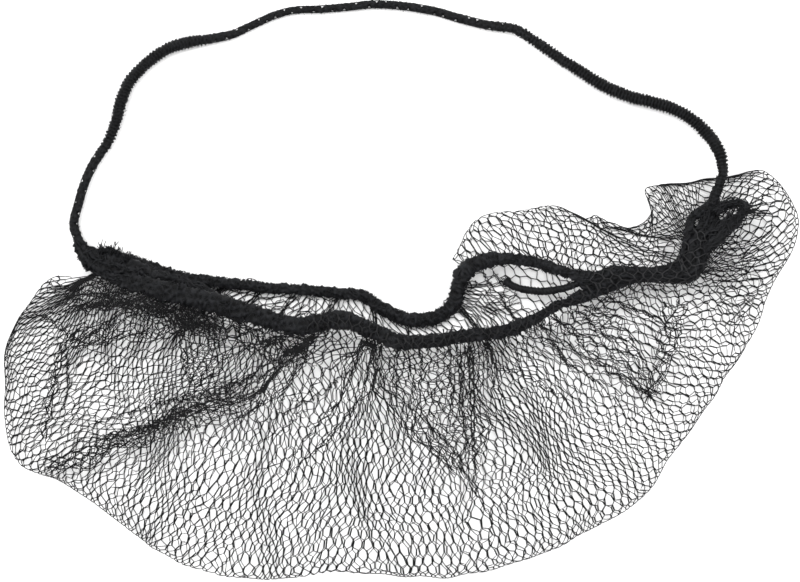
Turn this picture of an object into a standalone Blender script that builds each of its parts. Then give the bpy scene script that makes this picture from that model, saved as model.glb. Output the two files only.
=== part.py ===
"""Beard net: a pouch of two layers of coarse net with elastic edgings, a neck loop and two knots, lying flat.

X runs across the net, Y from its closed edge towards the neck loop, and Z up. The net lies on Z = 0, and the
origin is under the middle of the net. Lengths are in metres.
"""

import math
from collections import namedtuple

import bmesh
import bpy
from mathutils import Vector
from mathutils.geometry import delaunay_2d_cdt

NET_WIDTH = 0.260
NET_DEPTH = 0.134
WALL = 0.0012
RIM_RADIUS = 0.0016
PUFF_HEIGHT = 0.0082
PUFF_REACH = 0.0120
FRONT_CELL_WIDTH = 0.0170
FRONT_CELL_HEIGHT = 0.0195
LOBE_CELL_WIDTH = 0.0120
LOBE_CELL_HEIGHT = 0.0130
BACK_CELL_WIDTH = 0.0210
BACK_CELL_HEIGHT = 0.0220
FILLER_SPACING = 0.0100
WEB = 0.0028
SMALLEST_GAP = 0.0030
EDGING_DIAMETER = 0.0042
LOOP_DIAMETER = 0.0046
TAIL_DIAMETER = 0.0026
BOW_DIAMETER = 0.0028
KNOT_DIAMETER = 0.0096
KNOT_HEIGHT = 0.0070
WRAP_DIAMETER = 0.0022
WRAP_SPACING = 0.62
LOOP_LANDING = 0.0180
CLEARANCE = 0.0003
SEAM_GAP = 0.0007

# Places are shares of the net: x in hundredths of its width from the left, y in hundredths of its depth from
# the closed edge. A fold's half width is a share of the depth, and its height a share of the puff height.
Section = namedtuple("Section", "lip_x lip_y rim_x rim_y")
Place = namedtuple("Place", "x y")
RoutePoint = namedtuple("RoutePoint", "x y width")
Fold = namedtuple("Fold", "start_x start_y end_x end_y half_width height")

LEFT_KNOT = Place(10.8, 79.0)
RIGHT_KNOT = Place(89.1, 91.7)

# The front net, from the left knot round to the right one: a place on the lip, and one under it on the rim.
FRONT_SECTIONS = (
    Section(11.7, 75.6, 10.3, 73.9),
    Section(13.1, 74.6, 7.3, 74.9),
    Section(14.1, 73.9, 4.9, 71.5),
    Section(15.2, 73.2, 2.5, 64.1),
    Section(16.5, 72.4, 0.9, 57.6),
    Section(17.9, 72.0, 0.2, 47.8),
    Section(19.5, 71.2, 0.4, 36.8),
    Section(21.6, 70.2, 2.5, 28.5),
    Section(24.7, 68.8, 7.3, 23.2),
    Section(28.3, 67.1, 13.6, 15.9),
    Section(32.6, 64.4, 20.5, 6.1),
    Section(37.5, 62.2, 28.0, 1.7),
    Section(42.5, 63.7, 35.6, 0.2),
    Section(46.3, 61.2, 41.9, 2.4),
    Section(50.0, 58.3, 48.1, 1.7),
    Section(53.8, 58.5, 53.8, 1.0),
    Section(58.2, 59.8, 59.5, 2.2),
    Section(62.6, 60.7, 65.1, 5.1),
    Section(66.4, 63.4, 70.8, 8.8),
    Section(69.5, 66.8, 76.4, 15.6),
    Section(72.3, 69.0, 81.2, 22.0),
    Section(75.5, 71.0, 84.6, 30.7),
    Section(79.2, 72.7, 88.3, 40.7),
    Section(82.9, 73.2, 92.1, 52.7),
    Section(86.0, 73.9, 95.3, 64.9),
    Section(87.6, 77.3, 98.6, 77.8),
    Section(88.4, 80.9, 99.9, 87.1),
    Section(89.2, 84.4, 98.6, 94.6),
    Section(89.6, 87.1, 96.3, 99.8),
    Section(89.4, 89.0, 93.0, 99.5),
    Section(89.4, 90.0, 90.0, 98.3),
)

# The lobes that stand out beyond the back lip and fold under, from left to right.
LOBE_SECTIONS = (
    Section(58.6, 76.3, 56.9, 79.3),
    Section(60.1, 77.8, 57.7, 83.7),
    Section(63.2, 78.5, 59.6, 88.5),
    Section(66.4, 77.8, 64.5, 90.5),
    Section(69.1, 76.3, 69.1, 91.0),
    Section(72.0, 74.6, 73.4, 87.6),
    Section(75.4, 74.4, 77.0, 86.6),
    Section(79.2, 76.1, 80.4, 87.8),
    Section(82.7, 76.6, 81.6, 91.2),
    Section(85.2, 77.8, 81.6, 94.4),
    Section(85.9, 81.9, 85.2, 96.6),
    Section(86.6, 88.5, 88.5, 98.0),
)

# The stretch of the back lip that lies on the surface, from the left knot to the first lobe.
LOW_LIP = (
    Place(12.7, 79.6), Place(14.6, 78.8), Place(16.7, 77.8), Place(19.3, 76.1), Place(22.1, 74.1),
    Place(25.5, 73.2), Place(29.3, 72.4), Place(33.1, 71.5), Place(37.5, 71.0), Place(41.9, 70.2),
    Place(45.3, 69.5), Place(47.8, 66.3), Place(50.7, 63.9), Place(53.2, 63.7), Place(55.3, 64.9),
    Place(56.9, 67.8), Place(57.4, 71.7), Place(57.8, 74.6),
)

# Creases and ridges of the front net; a negative height is a crease.
FOLDS = (
    Fold(7.8, 56.0, 6.1, 38.8, 0.05, -0.40),
    Fold(15.9, 35.1, 38.2, 55.6, 0.08, -0.38),
    Fold(22.3, 66.8, 28.7, 59.3, 0.07, -0.36),
    Fold(38.2, 54.4, 27.0, 33.9, 0.07, 0.30),
    Fold(46.3, 58.0, 46.5, 48.0, 0.06, -0.38),
    Fold(45.9, 46.3, 38.2, 30.7, 0.06, 0.25),
    Fold(61.3, 57.6, 61.8, 52.4, 0.05, -0.38),
    Fold(58.7, 52.2, 59.3, 23.4, 0.05, -0.35),
    Fold(53.5, 35.9, 57.7, 10.5, 0.06, 0.25),
    Fold(69.2, 64.6, 80.4, 46.1, 0.06, -0.35),
    Fold(62.2, 52.2, 69.2, 45.4, 0.05, 0.25),
    Fold(84.7, 69.0, 81.4, 45.4, 0.05, -0.38),
)

# The elastic cords, as routes through chosen places; the width is a share of the cord's own diameter.
LOOP_ROUTE = (
    RoutePoint(10.6, 81.5, 0.75), RoutePoint(9.6, 84.4, 0.75), RoutePoint(9.1, 87.6, 0.70),
    RoutePoint(9.6, 92.2, 0.68), RoutePoint(10.3, 97.3, 0.70), RoutePoint(11.3, 102.2, 0.72),
    RoutePoint(12.8, 106.8, 0.85), RoutePoint(13.9, 112.0, 0.95), RoutePoint(14.6, 117.3, 1.00),
    RoutePoint(15.9, 122.2, 1.00), RoutePoint(17.6, 126.8, 1.00), RoutePoint(19.9, 130.0, 1.00),
    RoutePoint(22.6, 131.7, 1.00), RoutePoint(25.5, 132.2, 1.00), RoutePoint(28.4, 133.9, 0.95),
    RoutePoint(30.9, 136.3, 0.80), RoutePoint(33.4, 138.5, 0.70), RoutePoint(36.5, 139.8, 0.65),
    RoutePoint(39.7, 139.5, 0.65), RoutePoint(43.1, 140.0, 0.65), RoutePoint(46.9, 140.7, 0.65),
    RoutePoint(50.7, 140.2, 0.65), RoutePoint(54.4, 139.0, 0.68), RoutePoint(57.8, 137.1, 0.70),
    RoutePoint(61.1, 135.6, 0.75), RoutePoint(64.5, 134.6, 0.80), RoutePoint(67.0, 131.7, 0.85),
    RoutePoint(69.9, 127.8, 0.90), RoutePoint(72.9, 124.1, 0.95), RoutePoint(75.9, 120.5, 1.00),
    RoutePoint(79.2, 118.0, 1.00), RoutePoint(82.1, 116.6, 1.00), RoutePoint(84.7, 114.9, 1.00),
    RoutePoint(87.0, 112.2, 1.00), RoutePoint(89.0, 108.3, 1.00), RoutePoint(90.2, 104.1, 0.95),
    RoutePoint(90.5, 99.8, 0.85), RoutePoint(90.0, 96.1, 0.80),
)
TAIL_ROUTE = (
    RoutePoint(63.2, 73.2, 1.00), RoutePoint(65.1, 71.2, 1.00), RoutePoint(68.2, 70.7, 1.00),
    RoutePoint(70.4, 71.2, 1.00), RoutePoint(71.9, 71.7, 0.90),
)
BOW_ROUTE = (
    RoutePoint(90.7, 92.9, 1.00), RoutePoint(92.0, 93.9, 1.00), RoutePoint(93.2, 93.2, 1.00),
    RoutePoint(93.9, 91.0, 1.00), RoutePoint(93.0, 88.3, 1.00), RoutePoint(91.6, 85.9, 1.00),
    RoutePoint(90.1, 83.4, 0.90),
)

LINE_STEPS = 2
FINE_STEPS = 4
INSIDE_BORDERS = 1
MERGE_DISTANCE = 1e-6
HOLE_STEPS = 8
CLIMB_SECTIONS = 4
RIM_STEPS = 3
CORD_SIDES = 8
RIM_TOP = WALL / 2 + 2 * RIM_RADIUS


def plan(x, y):
    """The place in the plan for shares of the net's width and depth."""
    return Vector((NET_WIDTH * (x / 100 - 0.5), NET_DEPTH * (y / 100 - 0.5), 0.0))


def smooth_line(points, steps):
    """Points along a Catmull-Rom curve through the given ones, with so many steps to each span."""
    line = []
    last = len(points) - 1
    for i in range(last):
        before, start = points[max(i - 1, 0)], points[i]
        end, after = points[i + 1], points[min(i + 2, last)]
        for k in range(steps):
            t = k / steps
            line.append(0.5 * (2 * start + (end - before) * t
                               + (2 * before - 5 * start + 4 * end - after) * t ** 2
                               + (3 * start - before - 3 * end + after) * t ** 3))
    line.append(points[last].copy())
    return line


def side_line(line, offsets):
    """The line moved to its left by each point's offset, in the plan."""
    moved = []
    for i, point in enumerate(line):
        along = line[min(i + 1, len(line) - 1)] - line[max(i - 1, 0)]
        left = Vector((-along.y, along.x, 0.0)).normalized()
        moved.append(point + left * offsets[i])
    return moved


def segment_distance(point, start, end):
    """Distance in the plan from a point to a straight segment."""
    span = (end - start).to_2d()
    reach = point.to_2d() - start.to_2d()
    share = max(0.0, min(1.0, reach.dot(span) / max(span.length_squared, 1e-12)))
    return (reach - span * share).length


def line_distance(point, line):
    """Distance in the plan from a point to the nearest part of a line."""
    return min(segment_distance(point, a, b) for a, b in zip(line, line[1:]))


def inside(point, outline):
    """Whether a point lies inside a closed outline in the plan."""
    crossings = 0
    for a, b in zip(outline, outline[1:] + outline[:1]):
        if (a.y > point.y) != (b.y > point.y):
            crossings += point.x < a.x + (point.y - a.y) / (b.y - a.y) * (b.x - a.x)
    return crossings % 2 == 1


def smoothstep(value):
    """Rises smoothly from 0 at 0 to 1 at 1."""
    t = max(0.0, min(1.0, value))
    return t * t * (3 - 2 * t)


def rim_line():
    """The net's folded outer edge in the plan, from the left knot round to the first lobe."""
    places = [plan(s.rim_x, s.rim_y) for s in FRONT_SECTIONS]
    places += [plan(s.rim_x, s.rim_y) for s in reversed(LOBE_SECTIONS)]
    return smooth_line(places, LINE_STEPS)


def inner_rim(distance):
    """The rim moved inwards by a distance."""
    line = rim_line()
    return side_line(line, [distance] * len(line))


def front_part(ring):
    """The stretch of a ring that the front net hangs down to, from the left knot to the right one."""
    return ring[:(len(FRONT_SECTIONS) - 1) * LINE_STEPS + 1]


def lobe_part(ring):
    """The stretch of a ring along the lobes, from the first lobe to the right knot."""
    return ring[:-(len(LOBE_SECTIONS) - 1) * LINE_STEPS - 2:-1]


TOP_RING = inner_rim(WALL / 2 + RIM_RADIUS)


def front_height(point):
    """Height of the front net's middle over a place in the plan, with its creases and ridges."""
    reach = line_distance(point, TOP_RING)
    rise = 1 - math.exp(-reach / PUFF_REACH)
    for fold in FOLDS:
        start, end = plan(fold.start_x, fold.start_y), plan(fold.end_x, fold.end_y)
        nearness = 1 - segment_distance(point, start, end) / (fold.half_width * NET_DEPTH)
        rise += fold.height * smoothstep(nearness) * smoothstep(reach / PUFF_REACH)
    return RIM_TOP + PUFF_HEIGHT * rise


def make_material(name, colour, roughness):
    """A plain material of one colour."""
    material = bpy.data.materials.new(name)
    material.use_nodes = True
    shader = material.node_tree.nodes["Principled BSDF"]
    shader.inputs["Base Color"].default_value = (*colour, 1.0)
    shader.inputs["Roughness"].default_value = roughness
    return material


def knot_radius(clearance):
    """Radius in the plan that a knot and its clearance take up."""
    return KNOT_DIAMETER / 2 + clearance


def trim_at(line, centre, radius):
    """The line without its end points that lie within the radius of a centre, ended on that circle."""
    reaches = [(point.to_2d() - centre.to_2d()).length for point in line]
    kept = [i for i, reach in enumerate(reaches) if reach > radius]
    trimmed = [line[i] for i in kept]
    for end, gone in ((0, kept[0] - 1), (-1, kept[-1] + 1)):
        if 0 <= gone < len(line) and reaches[gone] <= radius:
            far, near = kept[end], gone
            point = line[far].lerp(line[near], (reaches[far] - radius) / (reaches[far] - reaches[near]))
            trimmed = [point] + trimmed if end == 0 else trimmed + [point]
    return trimmed


def clear_of(line, other, distance):
    """The line with its points moved off another line where they come nearer than a distance, in the plan."""
    moved = []
    for point in line:
        nearest = min(other, key=lambda place: (place - point).length)
        away = point - nearest
        moved.append(nearest + away.normalized() * distance if away.length < distance else point)
    return moved


def end_before(line, other, distance):
    """The line up to where it first comes nearer to another line than a distance."""
    for i, point in enumerate(line):
        if min((place.to_3d() - point.to_3d()).length for place in other) < distance:
            return line[:i]
    return line


def front_lip():
    """The front edging's middle line in the plan."""
    return smooth_line([plan(s.lip_x, s.lip_y) for s in FRONT_SECTIONS], LINE_STEPS)


def back_lip():
    """The back edging's middle line in the plan, ending at the right knot."""
    places = [plan(*place) for place in LOW_LIP]
    places += [plan(s.lip_x, s.lip_y) for s in LOBE_SECTIONS]
    line = smooth_line(places, LINE_STEPS)
    beside = smooth_line(front_lip(), FINE_STEPS)
    into_knot = smooth_line([line[-1], plan(*RIGHT_KNOT)], LINE_STEPS)[1:]
    return clear_of(line, beside, EDGING_DIAMETER + CLEARANCE) + into_knot


LOBE_START = len(LOW_LIP) * LINE_STEPS
SHEET_OFFSET = EDGING_DIAMETER / 2 + SEAM_GAP


def front_edge():
    """The front net's edge along the front lip."""
    line = front_lip()
    return side_line(line, [-SHEET_OFFSET] * len(line))


def lobe_edge():
    """The lobes' edge along the back lip."""
    line = back_lip()
    return side_line(line, [SHEET_OFFSET] * len(line))[LOBE_START:-LINE_STEPS]


def low_edge():
    """The back net's edge along the stretch of the back lip that lies on the surface."""
    line = back_lip()
    return side_line(line, [-SHEET_OFFSET] * len(line))[:LOBE_START]


def line_point(line, position):
    """The point at a fractional index of a line."""
    i = min(int(position), len(line) - 2)
    return line[i].lerp(line[i + 1], position - i)


def shrink(corners, border, smallest):
    """A gap's outline inside its cell, with a middle point to each side, or nothing in too small a cell."""
    middle = sum(corners, Vector()) / len(corners)
    sides = list(zip(corners, corners[1:] + corners[:1]))
    reach = min(segment_distance(middle, a, b) for a, b in sides)
    if reach - border < smallest / 2:
        return None
    share = 1 - border / reach
    outline = []
    for a, b in sides:
        outline += [middle + (a - middle) * share, middle + ((a + b) / 2 - middle) * share]
    return outline


def hexagon(column, row):
    """Corners of one cell of a honeycomb, in units of columns and rows, point upwards."""
    middle = column + 0.5 * (row % 2)
    return [(middle + dx, row + dy) for dx, dy in
            ((0, -2 / 3), (0.5, -1 / 3), (0.5, 1 / 3), (0, 2 / 3), (-0.5, 1 / 3), (-0.5, -1 / 3))]


def hanging_gaps(lip, rim, cell_width, cell_height):
    """Gaps of a net that hangs from a lip to the rim: columns that fan out and rows along the lip."""
    middle = [a.lerp(b, 0.5) for a, b in zip(lip, rim)]
    run = [0.0]
    for a, b in zip(middle, middle[1:]):
        run.append(run[-1] + (b - a).length)
    columns = round(run[-1] / cell_width)
    depth = max((b - a).length for a, b in zip(lip, rim))
    rows = max(1, round(depth / cell_height))

    def net_point(across, down):
        want = max(0.0, min(1.0, across / columns)) * run[-1]
        i = max(k for k in range(len(run) - 1) if run[k] <= want)
        position = i + (want - run[i]) / (run[i + 1] - run[i])
        top, bottom = line_point(lip, position), line_point(rim, position)
        length = (bottom - top).length
        share = max(0.0, min(1.0, down / rows))
        return top.lerp(bottom, (WEB / 2 + (length - WEB) * share) / length)

    gaps = []
    for row in range(rows):
        for column in range(columns):
            corners = [net_point(a + 0.5, d + 0.5) for a, d in hexagon(column, row)]
            gaps.append(shrink(corners, WEB / 2, SMALLEST_GAP))
    return [gap for gap in gaps if gap]


def filler_places(outline, gaps):
    """Places on an even grid in the solid stretches, which keep the sheet's triangles even."""
    edges = [outline + outline[:1]] + [gap + gap[:1] for gap in gaps]
    columns = math.ceil(NET_WIDTH / 2 / FILLER_SPACING)
    rows = math.ceil(NET_DEPTH / 2 / FILLER_SPACING)
    places = []
    for row in range(-rows, rows + 1):
        for column in range(-columns, columns + 1):
            place = Vector(((column + 0.5 * (row % 2)) * FILLER_SPACING, row * FILLER_SPACING, 0.0))
            if inside(place, outline) and not any(inside(place, gap) for gap in gaps):
                if min(line_distance(place, edge) for edge in edges) > FILLER_SPACING / 2:
                    places.append(place)
    return places


def filled_sheet(outline, gaps):
    """A flat sheet of the outline with the gaps left open, as bmesh."""
    places = []
    borders = []
    for ring in [outline] + gaps:
        first = len(places)
        borders += [(first + i, first + (i + 1) % len(ring)) for i in range(len(ring))]
        places += ring
    places += filler_places(outline, gaps)
    flat_places = [place.to_2d() for place in places]
    corners, _, triangles, *_ = delaunay_2d_cdt(flat_places, borders, [], INSIDE_BORDERS, MERGE_DISTANCE)
    sheet = bmesh.new()
    for corner in corners:
        sheet.verts.new((corner.x, corner.y, 0.0))
    sheet.verts.ensure_lookup_table()
    for triangle in triangles:
        middle = sum((corners[i] for i in triangle), Vector((0.0, 0.0))) / 3
        if inside(middle, outline) and not any(inside(middle, gap) for gap in gaps):
            sheet.faces.new([sheet.verts[i] for i in triangle])
    return sheet


def knot_arc(start, end):
    """Points round the right knot, clockwise from one place to another, where the front net clears it."""
    centre = plan(*RIGHT_KNOT)
    radius = knot_radius(SEAM_GAP)
    first = math.atan2(start.y - centre.y, start.x - centre.x)
    last = math.atan2(end.y - centre.y, end.x - centre.x)
    turn = (first - last) % math.tau
    angles = [first - turn * k / HOLE_STEPS for k in range(1, HOLE_STEPS)]
    return [centre + radius * Vector((math.cos(a), math.sin(a), 0.0)) for a in angles]


def fold_rim_under(sheet):
    """Adds the half-round fold of the rim, from the edge of the front net down to the surface."""
    rings = []
    for k in range(RIM_STEPS + 1):
        angle = math.pi * (k / RIM_STEPS - 0.5)
        ring = inner_rim(WALL / 2 + RIM_RADIUS * (1 - math.cos(angle)))
        height = WALL / 2 + RIM_RADIUS * (1 + math.sin(angle))
        rings.append([sheet.verts.new((p.x, p.y, height)) for p in ring])
    for low, high in zip(rings, rings[1:]):
        for i in range(len(low) - 1):
            sheet.faces.new((low[i], low[i + 1], high[i + 1], high[i]))
    bmesh.ops.remove_doubles(sheet, verts=sheet.verts, dist=10 * MERGE_DISTANCE)


def front_sheet():
    """The puffed front net with the lobes, from the rim to the two lips, as bmesh."""
    hole = knot_radius(SEAM_GAP)
    lobe_side = trim_at(lobe_edge(), plan(*RIGHT_KNOT), hole)
    front_side = trim_at(trim_at(front_edge(), plan(*RIGHT_KNOT), hole), plan(*LEFT_KNOT), hole)
    mouth = lobe_side[1:] + knot_arc(lobe_side[-1], front_side[-1]) + front_side[::-1]
    gaps = hanging_gaps(front_edge(), front_part(TOP_RING), FRONT_CELL_WIDTH, FRONT_CELL_HEIGHT)
    gaps += hanging_gaps(lobe_edge(), lobe_part(TOP_RING), LOBE_CELL_WIDTH, LOBE_CELL_HEIGHT)
    sheet = filled_sheet(TOP_RING + mouth, gaps)
    for vertex in sheet.verts:
        vertex.co.z = front_height(vertex.co)
    fold_rim_under(sheet)
    return sheet


def back_sheet():
    """The back net, flat on the surface inside the fold of the rim, as bmesh."""
    ring = inner_rim(WALL / 2 + RIM_RADIUS + SEAM_GAP)
    low_side = trim_at(low_edge(), plan(*LEFT_KNOT), knot_radius(SEAM_GAP))
    top = low_edge() + lobe_part(ring) + [plan(*RIGHT_KNOT)] * LINE_STEPS
    gaps = hanging_gaps(top, front_part(ring), BACK_CELL_WIDTH, BACK_CELL_HEIGHT)
    sheet = filled_sheet(ring + low_side[::-1], gaps)
    for vertex in sheet.verts:
        vertex.co.z = WALL / 2
    return sheet


def make_net(collection, name, sheet, material):
    """One layer of the pouch: a sheet of netting with its thickness."""
    bmesh.ops.recalc_face_normals(sheet, faces=sheet.faces)
    mesh = bpy.data.meshes.new(name)
    sheet.to_mesh(mesh)
    sheet.free()
    mesh.materials.append(material)
    net = bpy.data.objects.new(name, mesh)
    collection.objects.link(net)
    thickness = net.modifiers.new("thickness", "SOLIDIFY")
    thickness.thickness = WALL
    thickness.offset = 0.0


def end_at_knots(line):
    """The line ended clear of both knots."""
    for knot in (LEFT_KNOT, RIGHT_KNOT):
        line = trim_at(line, plan(*knot), knot_radius(2 * CLEARANCE))
    return line


def make_cord(collection, name, line, diameter, material):
    """A round cord along a line of places, each with a width as its share of the diameter."""
    curve = bpy.data.curves.new(name, "CURVE")
    curve.dimensions = "3D"
    curve.bevel_depth = diameter / 2
    curve.bevel_resolution = (CORD_SIDES - 4) // 2
    curve.use_fill_caps = True
    spline = curve.splines.new("POLY")
    spline.points.add(len(line) - 1)
    for spline_point, place in zip(spline.points, line):
        spline_point.co = (*place.to_3d(), 1.0)
        spline_point.radius = place.w
    curve.materials.append(material)
    collection.objects.link(bpy.data.objects.new(name, curve))


def front_edging_line():
    """The front edging's middle line, level with the front net's edge beside it."""
    line = [Vector((p.x, p.y, front_height(e), 1.0)) for p, e in zip(front_lip(), front_edge())]
    return end_at_knots(line)


def back_edging_line():
    """The back edging's middle line, first on the surface and then level with the lobes' edge."""
    plan_line = back_lip()
    edge = side_line(plan_line, [SHEET_OFFSET] * len(plan_line))
    climb = CLIMB_SECTIONS * LINE_STEPS
    line = []
    for i, point in enumerate(plan_line):
        share = smoothstep((i - LOBE_START + climb) / (climb + LINE_STEPS))
        height = EDGING_DIAMETER / 2 * (1 - share) + front_height(edge[i]) * share
        line.append(Vector((point.x, point.y, height, 1.0)))
    return end_at_knots(line)


def make_edgings(collection, material):
    """The knitted edgings of the two lips."""
    make_cord(collection, "front_edging", front_edging_line(), EDGING_DIAMETER, material)
    make_cord(collection, "back_edging", back_edging_line(), EDGING_DIAMETER, material)


def right_knot_height():
    """Height of the right knot's middle, level with the front net round it."""
    centre = plan(*RIGHT_KNOT)
    return front_height(centre - Vector((0.0, knot_radius(2 * CLEARANCE), 0.0)))


def route_line(stations):
    """A smooth line through a cord's stations, on the surface, with its width at each place."""
    return smooth_line([Vector((*plan(s.x, s.y), s.width)) for s in stations], LINE_STEPS)


def make_neck_loop(collection, material):
    """The neck loop on the surface, climbing over the rim to the right knot."""
    first = RoutePoint(*LEFT_KNOT, LOOP_ROUTE[0].width)
    last = RoutePoint(*RIGHT_KNOT, LOOP_ROUTE[-1].width)
    knot = plan(*RIGHT_KNOT)
    crossing = knot + Vector((0.0, knot_radius(CLEARANCE), 0.0))
    rise = front_height(crossing) + WALL / 2 + 2 * CLEARANCE
    line = []
    for place in route_line((first, *LOOP_ROUTE, last)):
        from_knot = (place.to_2d() - knot.to_2d()).length - 2 * knot_radius(CLEARANCE)
        place.z = place.w * LOOP_DIAMETER / 2 + rise * smoothstep(1 - from_knot / LOOP_LANDING)
        line.append(place)
    make_cord(collection, "neck_loop", end_at_knots(line), LOOP_DIAMETER, material)


def make_loose_tail(collection, material):
    """The loose end of the elastic in the mouth, from between the lips down to the back net."""
    line = route_line(TAIL_ROUTE)
    low = WALL + CLEARANCE + TAIL_DIAMETER / 2
    high = front_height(line[-1])
    for i, place in enumerate(line):
        place.z = low + (high - low) * smoothstep(i / (len(line) - 1))
    apart = (EDGING_DIAMETER + TAIL_DIAMETER) / 2 + CLEARANCE
    for lip in (front_edging_line(), back_edging_line()):
        line = end_before(line, smooth_line(lip, FINE_STEPS), apart)
    make_cord(collection, "loose_tail", line, TAIL_DIAMETER, material)


def make_right_bow(collection, material):
    """The end of the elastic doubled back beside the right knot, lying on the front net."""
    line = route_line(BOW_ROUTE)
    for place in line:
        place.z = front_height(place) + WALL / 2 + 2 * CLEARANCE + BOW_DIAMETER / 2
    apart = (EDGING_DIAMETER + BOW_DIAMETER) / 2 + CLEARANCE
    line = end_before(end_at_knots(line), smooth_line(front_edging_line(), FINE_STEPS), apart)
    make_cord(collection, "right_bow", line, BOW_DIAMETER, material)


def take_in(collection, piece, location):
    """Moves a new primitive into a collection and to its place."""
    for owner in piece.users_collection:
        owner.objects.unlink(piece)
    collection.objects.link(piece)
    piece.location = location


def make_knot(collection, wraps, name, place, height, turn, material):
    """A knot: a squat ball with two turns of cord laid over it, made one solid."""
    centre = plan(*place)
    centre.z = height
    bpy.ops.mesh.primitive_uv_sphere_add(segments=14, ring_count=7, radius=KNOT_DIAMETER / 2)
    knot = bpy.context.active_object
    knot.name = name
    knot.data.name = name
    for vertex in knot.data.vertices:
        vertex.co.z *= (KNOT_HEIGHT - WRAP_DIAMETER) / KNOT_DIAMETER
    knot.data.materials.append(material)
    take_in(collection, knot, centre)
    for k, side in enumerate((-1, 1)):
        bpy.ops.mesh.primitive_torus_add(major_segments=14, minor_segments=6,
                                         major_radius=(KNOT_DIAMETER - WRAP_DIAMETER) / 2,
                                         minor_radius=WRAP_DIAMETER / 2)
        wrap = bpy.context.active_object
        wrap.name = f"{name}_wrap_{k + 1}"
        for vertex in wrap.data.vertices:
            vertex.co.x *= KNOT_HEIGHT / KNOT_DIAMETER
        along = Vector((math.cos(turn), math.sin(turn), 0.0))
        take_in(wraps, wrap, centre + along * (side * WRAP_DIAMETER * WRAP_SPACING))
        wrap.rotation_euler = (0.0, math.pi / 2, turn)
        wrap.hide_render = True
        wrap.display_type = "WIRE"
        union = knot.modifiers.new(f"wrap_{k + 1}", "BOOLEAN")
        union.operation = "UNION"
        union.object = wrap


def main():
    for old in list(bpy.data.objects):
        bpy.data.objects.remove(old)
    net = bpy.data.collections.new("beard_net")
    wraps = bpy.data.collections.new("knot_wraps")
    for collection in (net, wraps):
        bpy.context.scene.collection.children.link(collection)
    thread = make_material("net_thread", (0.012, 0.012, 0.013), 0.55)
    elastic = make_material("elastic", (0.030, 0.030, 0.033), 0.80)
    make_net(net, "front_net", front_sheet(), thread)
    make_net(net, "back_net", back_sheet(), thread)
    make_edgings(net, elastic)
    make_neck_loop(net, elastic)
    make_loose_tail(net, elastic)
    make_knot(net, wraps, "left_knot", LEFT_KNOT, KNOT_HEIGHT / 2, math.radians(-20), elastic)
    make_knot(net, wraps, "right_knot", RIGHT_KNOT, right_knot_height(), math.radians(80), elastic)
    make_right_bow(net, elastic)


main()
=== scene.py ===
"""Beard net: honeycomb netting of fine thread with knitted elastic edgings and neck loop, lying on white."""

import math
from collections import namedtuple

import bpy
import numpy as np
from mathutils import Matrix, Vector


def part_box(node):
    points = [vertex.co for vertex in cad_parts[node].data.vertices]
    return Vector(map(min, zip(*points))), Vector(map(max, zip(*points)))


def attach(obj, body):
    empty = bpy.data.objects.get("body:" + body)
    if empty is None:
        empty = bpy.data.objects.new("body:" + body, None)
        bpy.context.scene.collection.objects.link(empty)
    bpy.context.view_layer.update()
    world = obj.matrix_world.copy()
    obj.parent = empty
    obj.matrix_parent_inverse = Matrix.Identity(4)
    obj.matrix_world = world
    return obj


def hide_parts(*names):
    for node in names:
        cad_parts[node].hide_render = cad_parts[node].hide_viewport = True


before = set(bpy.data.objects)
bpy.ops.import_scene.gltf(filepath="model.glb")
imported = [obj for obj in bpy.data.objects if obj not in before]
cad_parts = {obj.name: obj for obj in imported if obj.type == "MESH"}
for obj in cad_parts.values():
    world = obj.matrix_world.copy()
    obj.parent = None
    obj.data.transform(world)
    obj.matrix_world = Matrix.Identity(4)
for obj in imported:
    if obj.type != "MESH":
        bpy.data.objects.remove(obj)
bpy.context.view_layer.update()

bpy.ops.object.select_all(action="DESELECT")

# The white table the net lies on, the light of a photo tent over it, and the camera. It looks straight down
# from so far away that the raised threads stay where they are in the picture.
TABLE_SIZE = 6.0
EYE_PLACE = Vector((0.00010, 0.0277, 0.004))
EYE_HEIGHT = 1.450
VIEW_WIDTH = 0.2614
SKY_STRENGTH = 1.10
LAMP_SIZE = 1.0
LAMPS = (("lamp_left", (-0.9, 0.5, 1.3), 17.0), ("lamp_right", (0.9, 0.7, 1.3), 14.0))

bpy.ops.mesh.primitive_plane_add(size=TABLE_SIZE, location=(0, 0, 0))
table = bpy.context.active_object
table.name = "table"
white = bpy.data.materials.new("white_table")
white.use_nodes = True
white_shader = white.node_tree.nodes["Principled BSDF"]
white_shader.inputs["Base Color"].default_value = (0.95, 0.95, 0.95, 1.0)
white_shader.inputs["Roughness"].default_value = 0.9
white_shader.inputs["Specular IOR Level"].default_value = 0.1
table.data.materials.append(white)

sky = bpy.data.worlds.new("photo_tent")
sky.use_nodes = True
sky.node_tree.nodes["Background"].inputs["Color"].default_value = (1.0, 1.0, 1.0, 1.0)
sky.node_tree.nodes["Background"].inputs["Strength"].default_value = SKY_STRENGTH
bpy.context.scene.world = sky

for name, place, power in LAMPS:
    light = bpy.data.lights.new(name, "AREA")
    light.shape = "DISK"
    light.size = LAMP_SIZE
    light.energy = power
    lamp = bpy.data.objects.new(name, light)
    lamp.location = place
    lamp.rotation_euler = (-Vector(place)).to_track_quat("-Z", "Y").to_euler()
    bpy.context.scene.collection.objects.link(lamp)

eye = bpy.data.cameras.new("camera")
eye.sensor_width = 36.0
eye.lens = eye.sensor_width * (EYE_HEIGHT - EYE_PLACE.z) / VIEW_WIDTH
eye.clip_start, eye.clip_end = 0.05, 20.0
camera = bpy.data.objects.new("camera", eye)
camera.location = (EYE_PLACE.x, EYE_PLACE.y, EYE_HEIGHT)
bpy.context.scene.collection.objects.link(camera)
bpy.context.scene.camera = camera
bpy.context.scene.view_settings.view_transform = "Standard"

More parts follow.
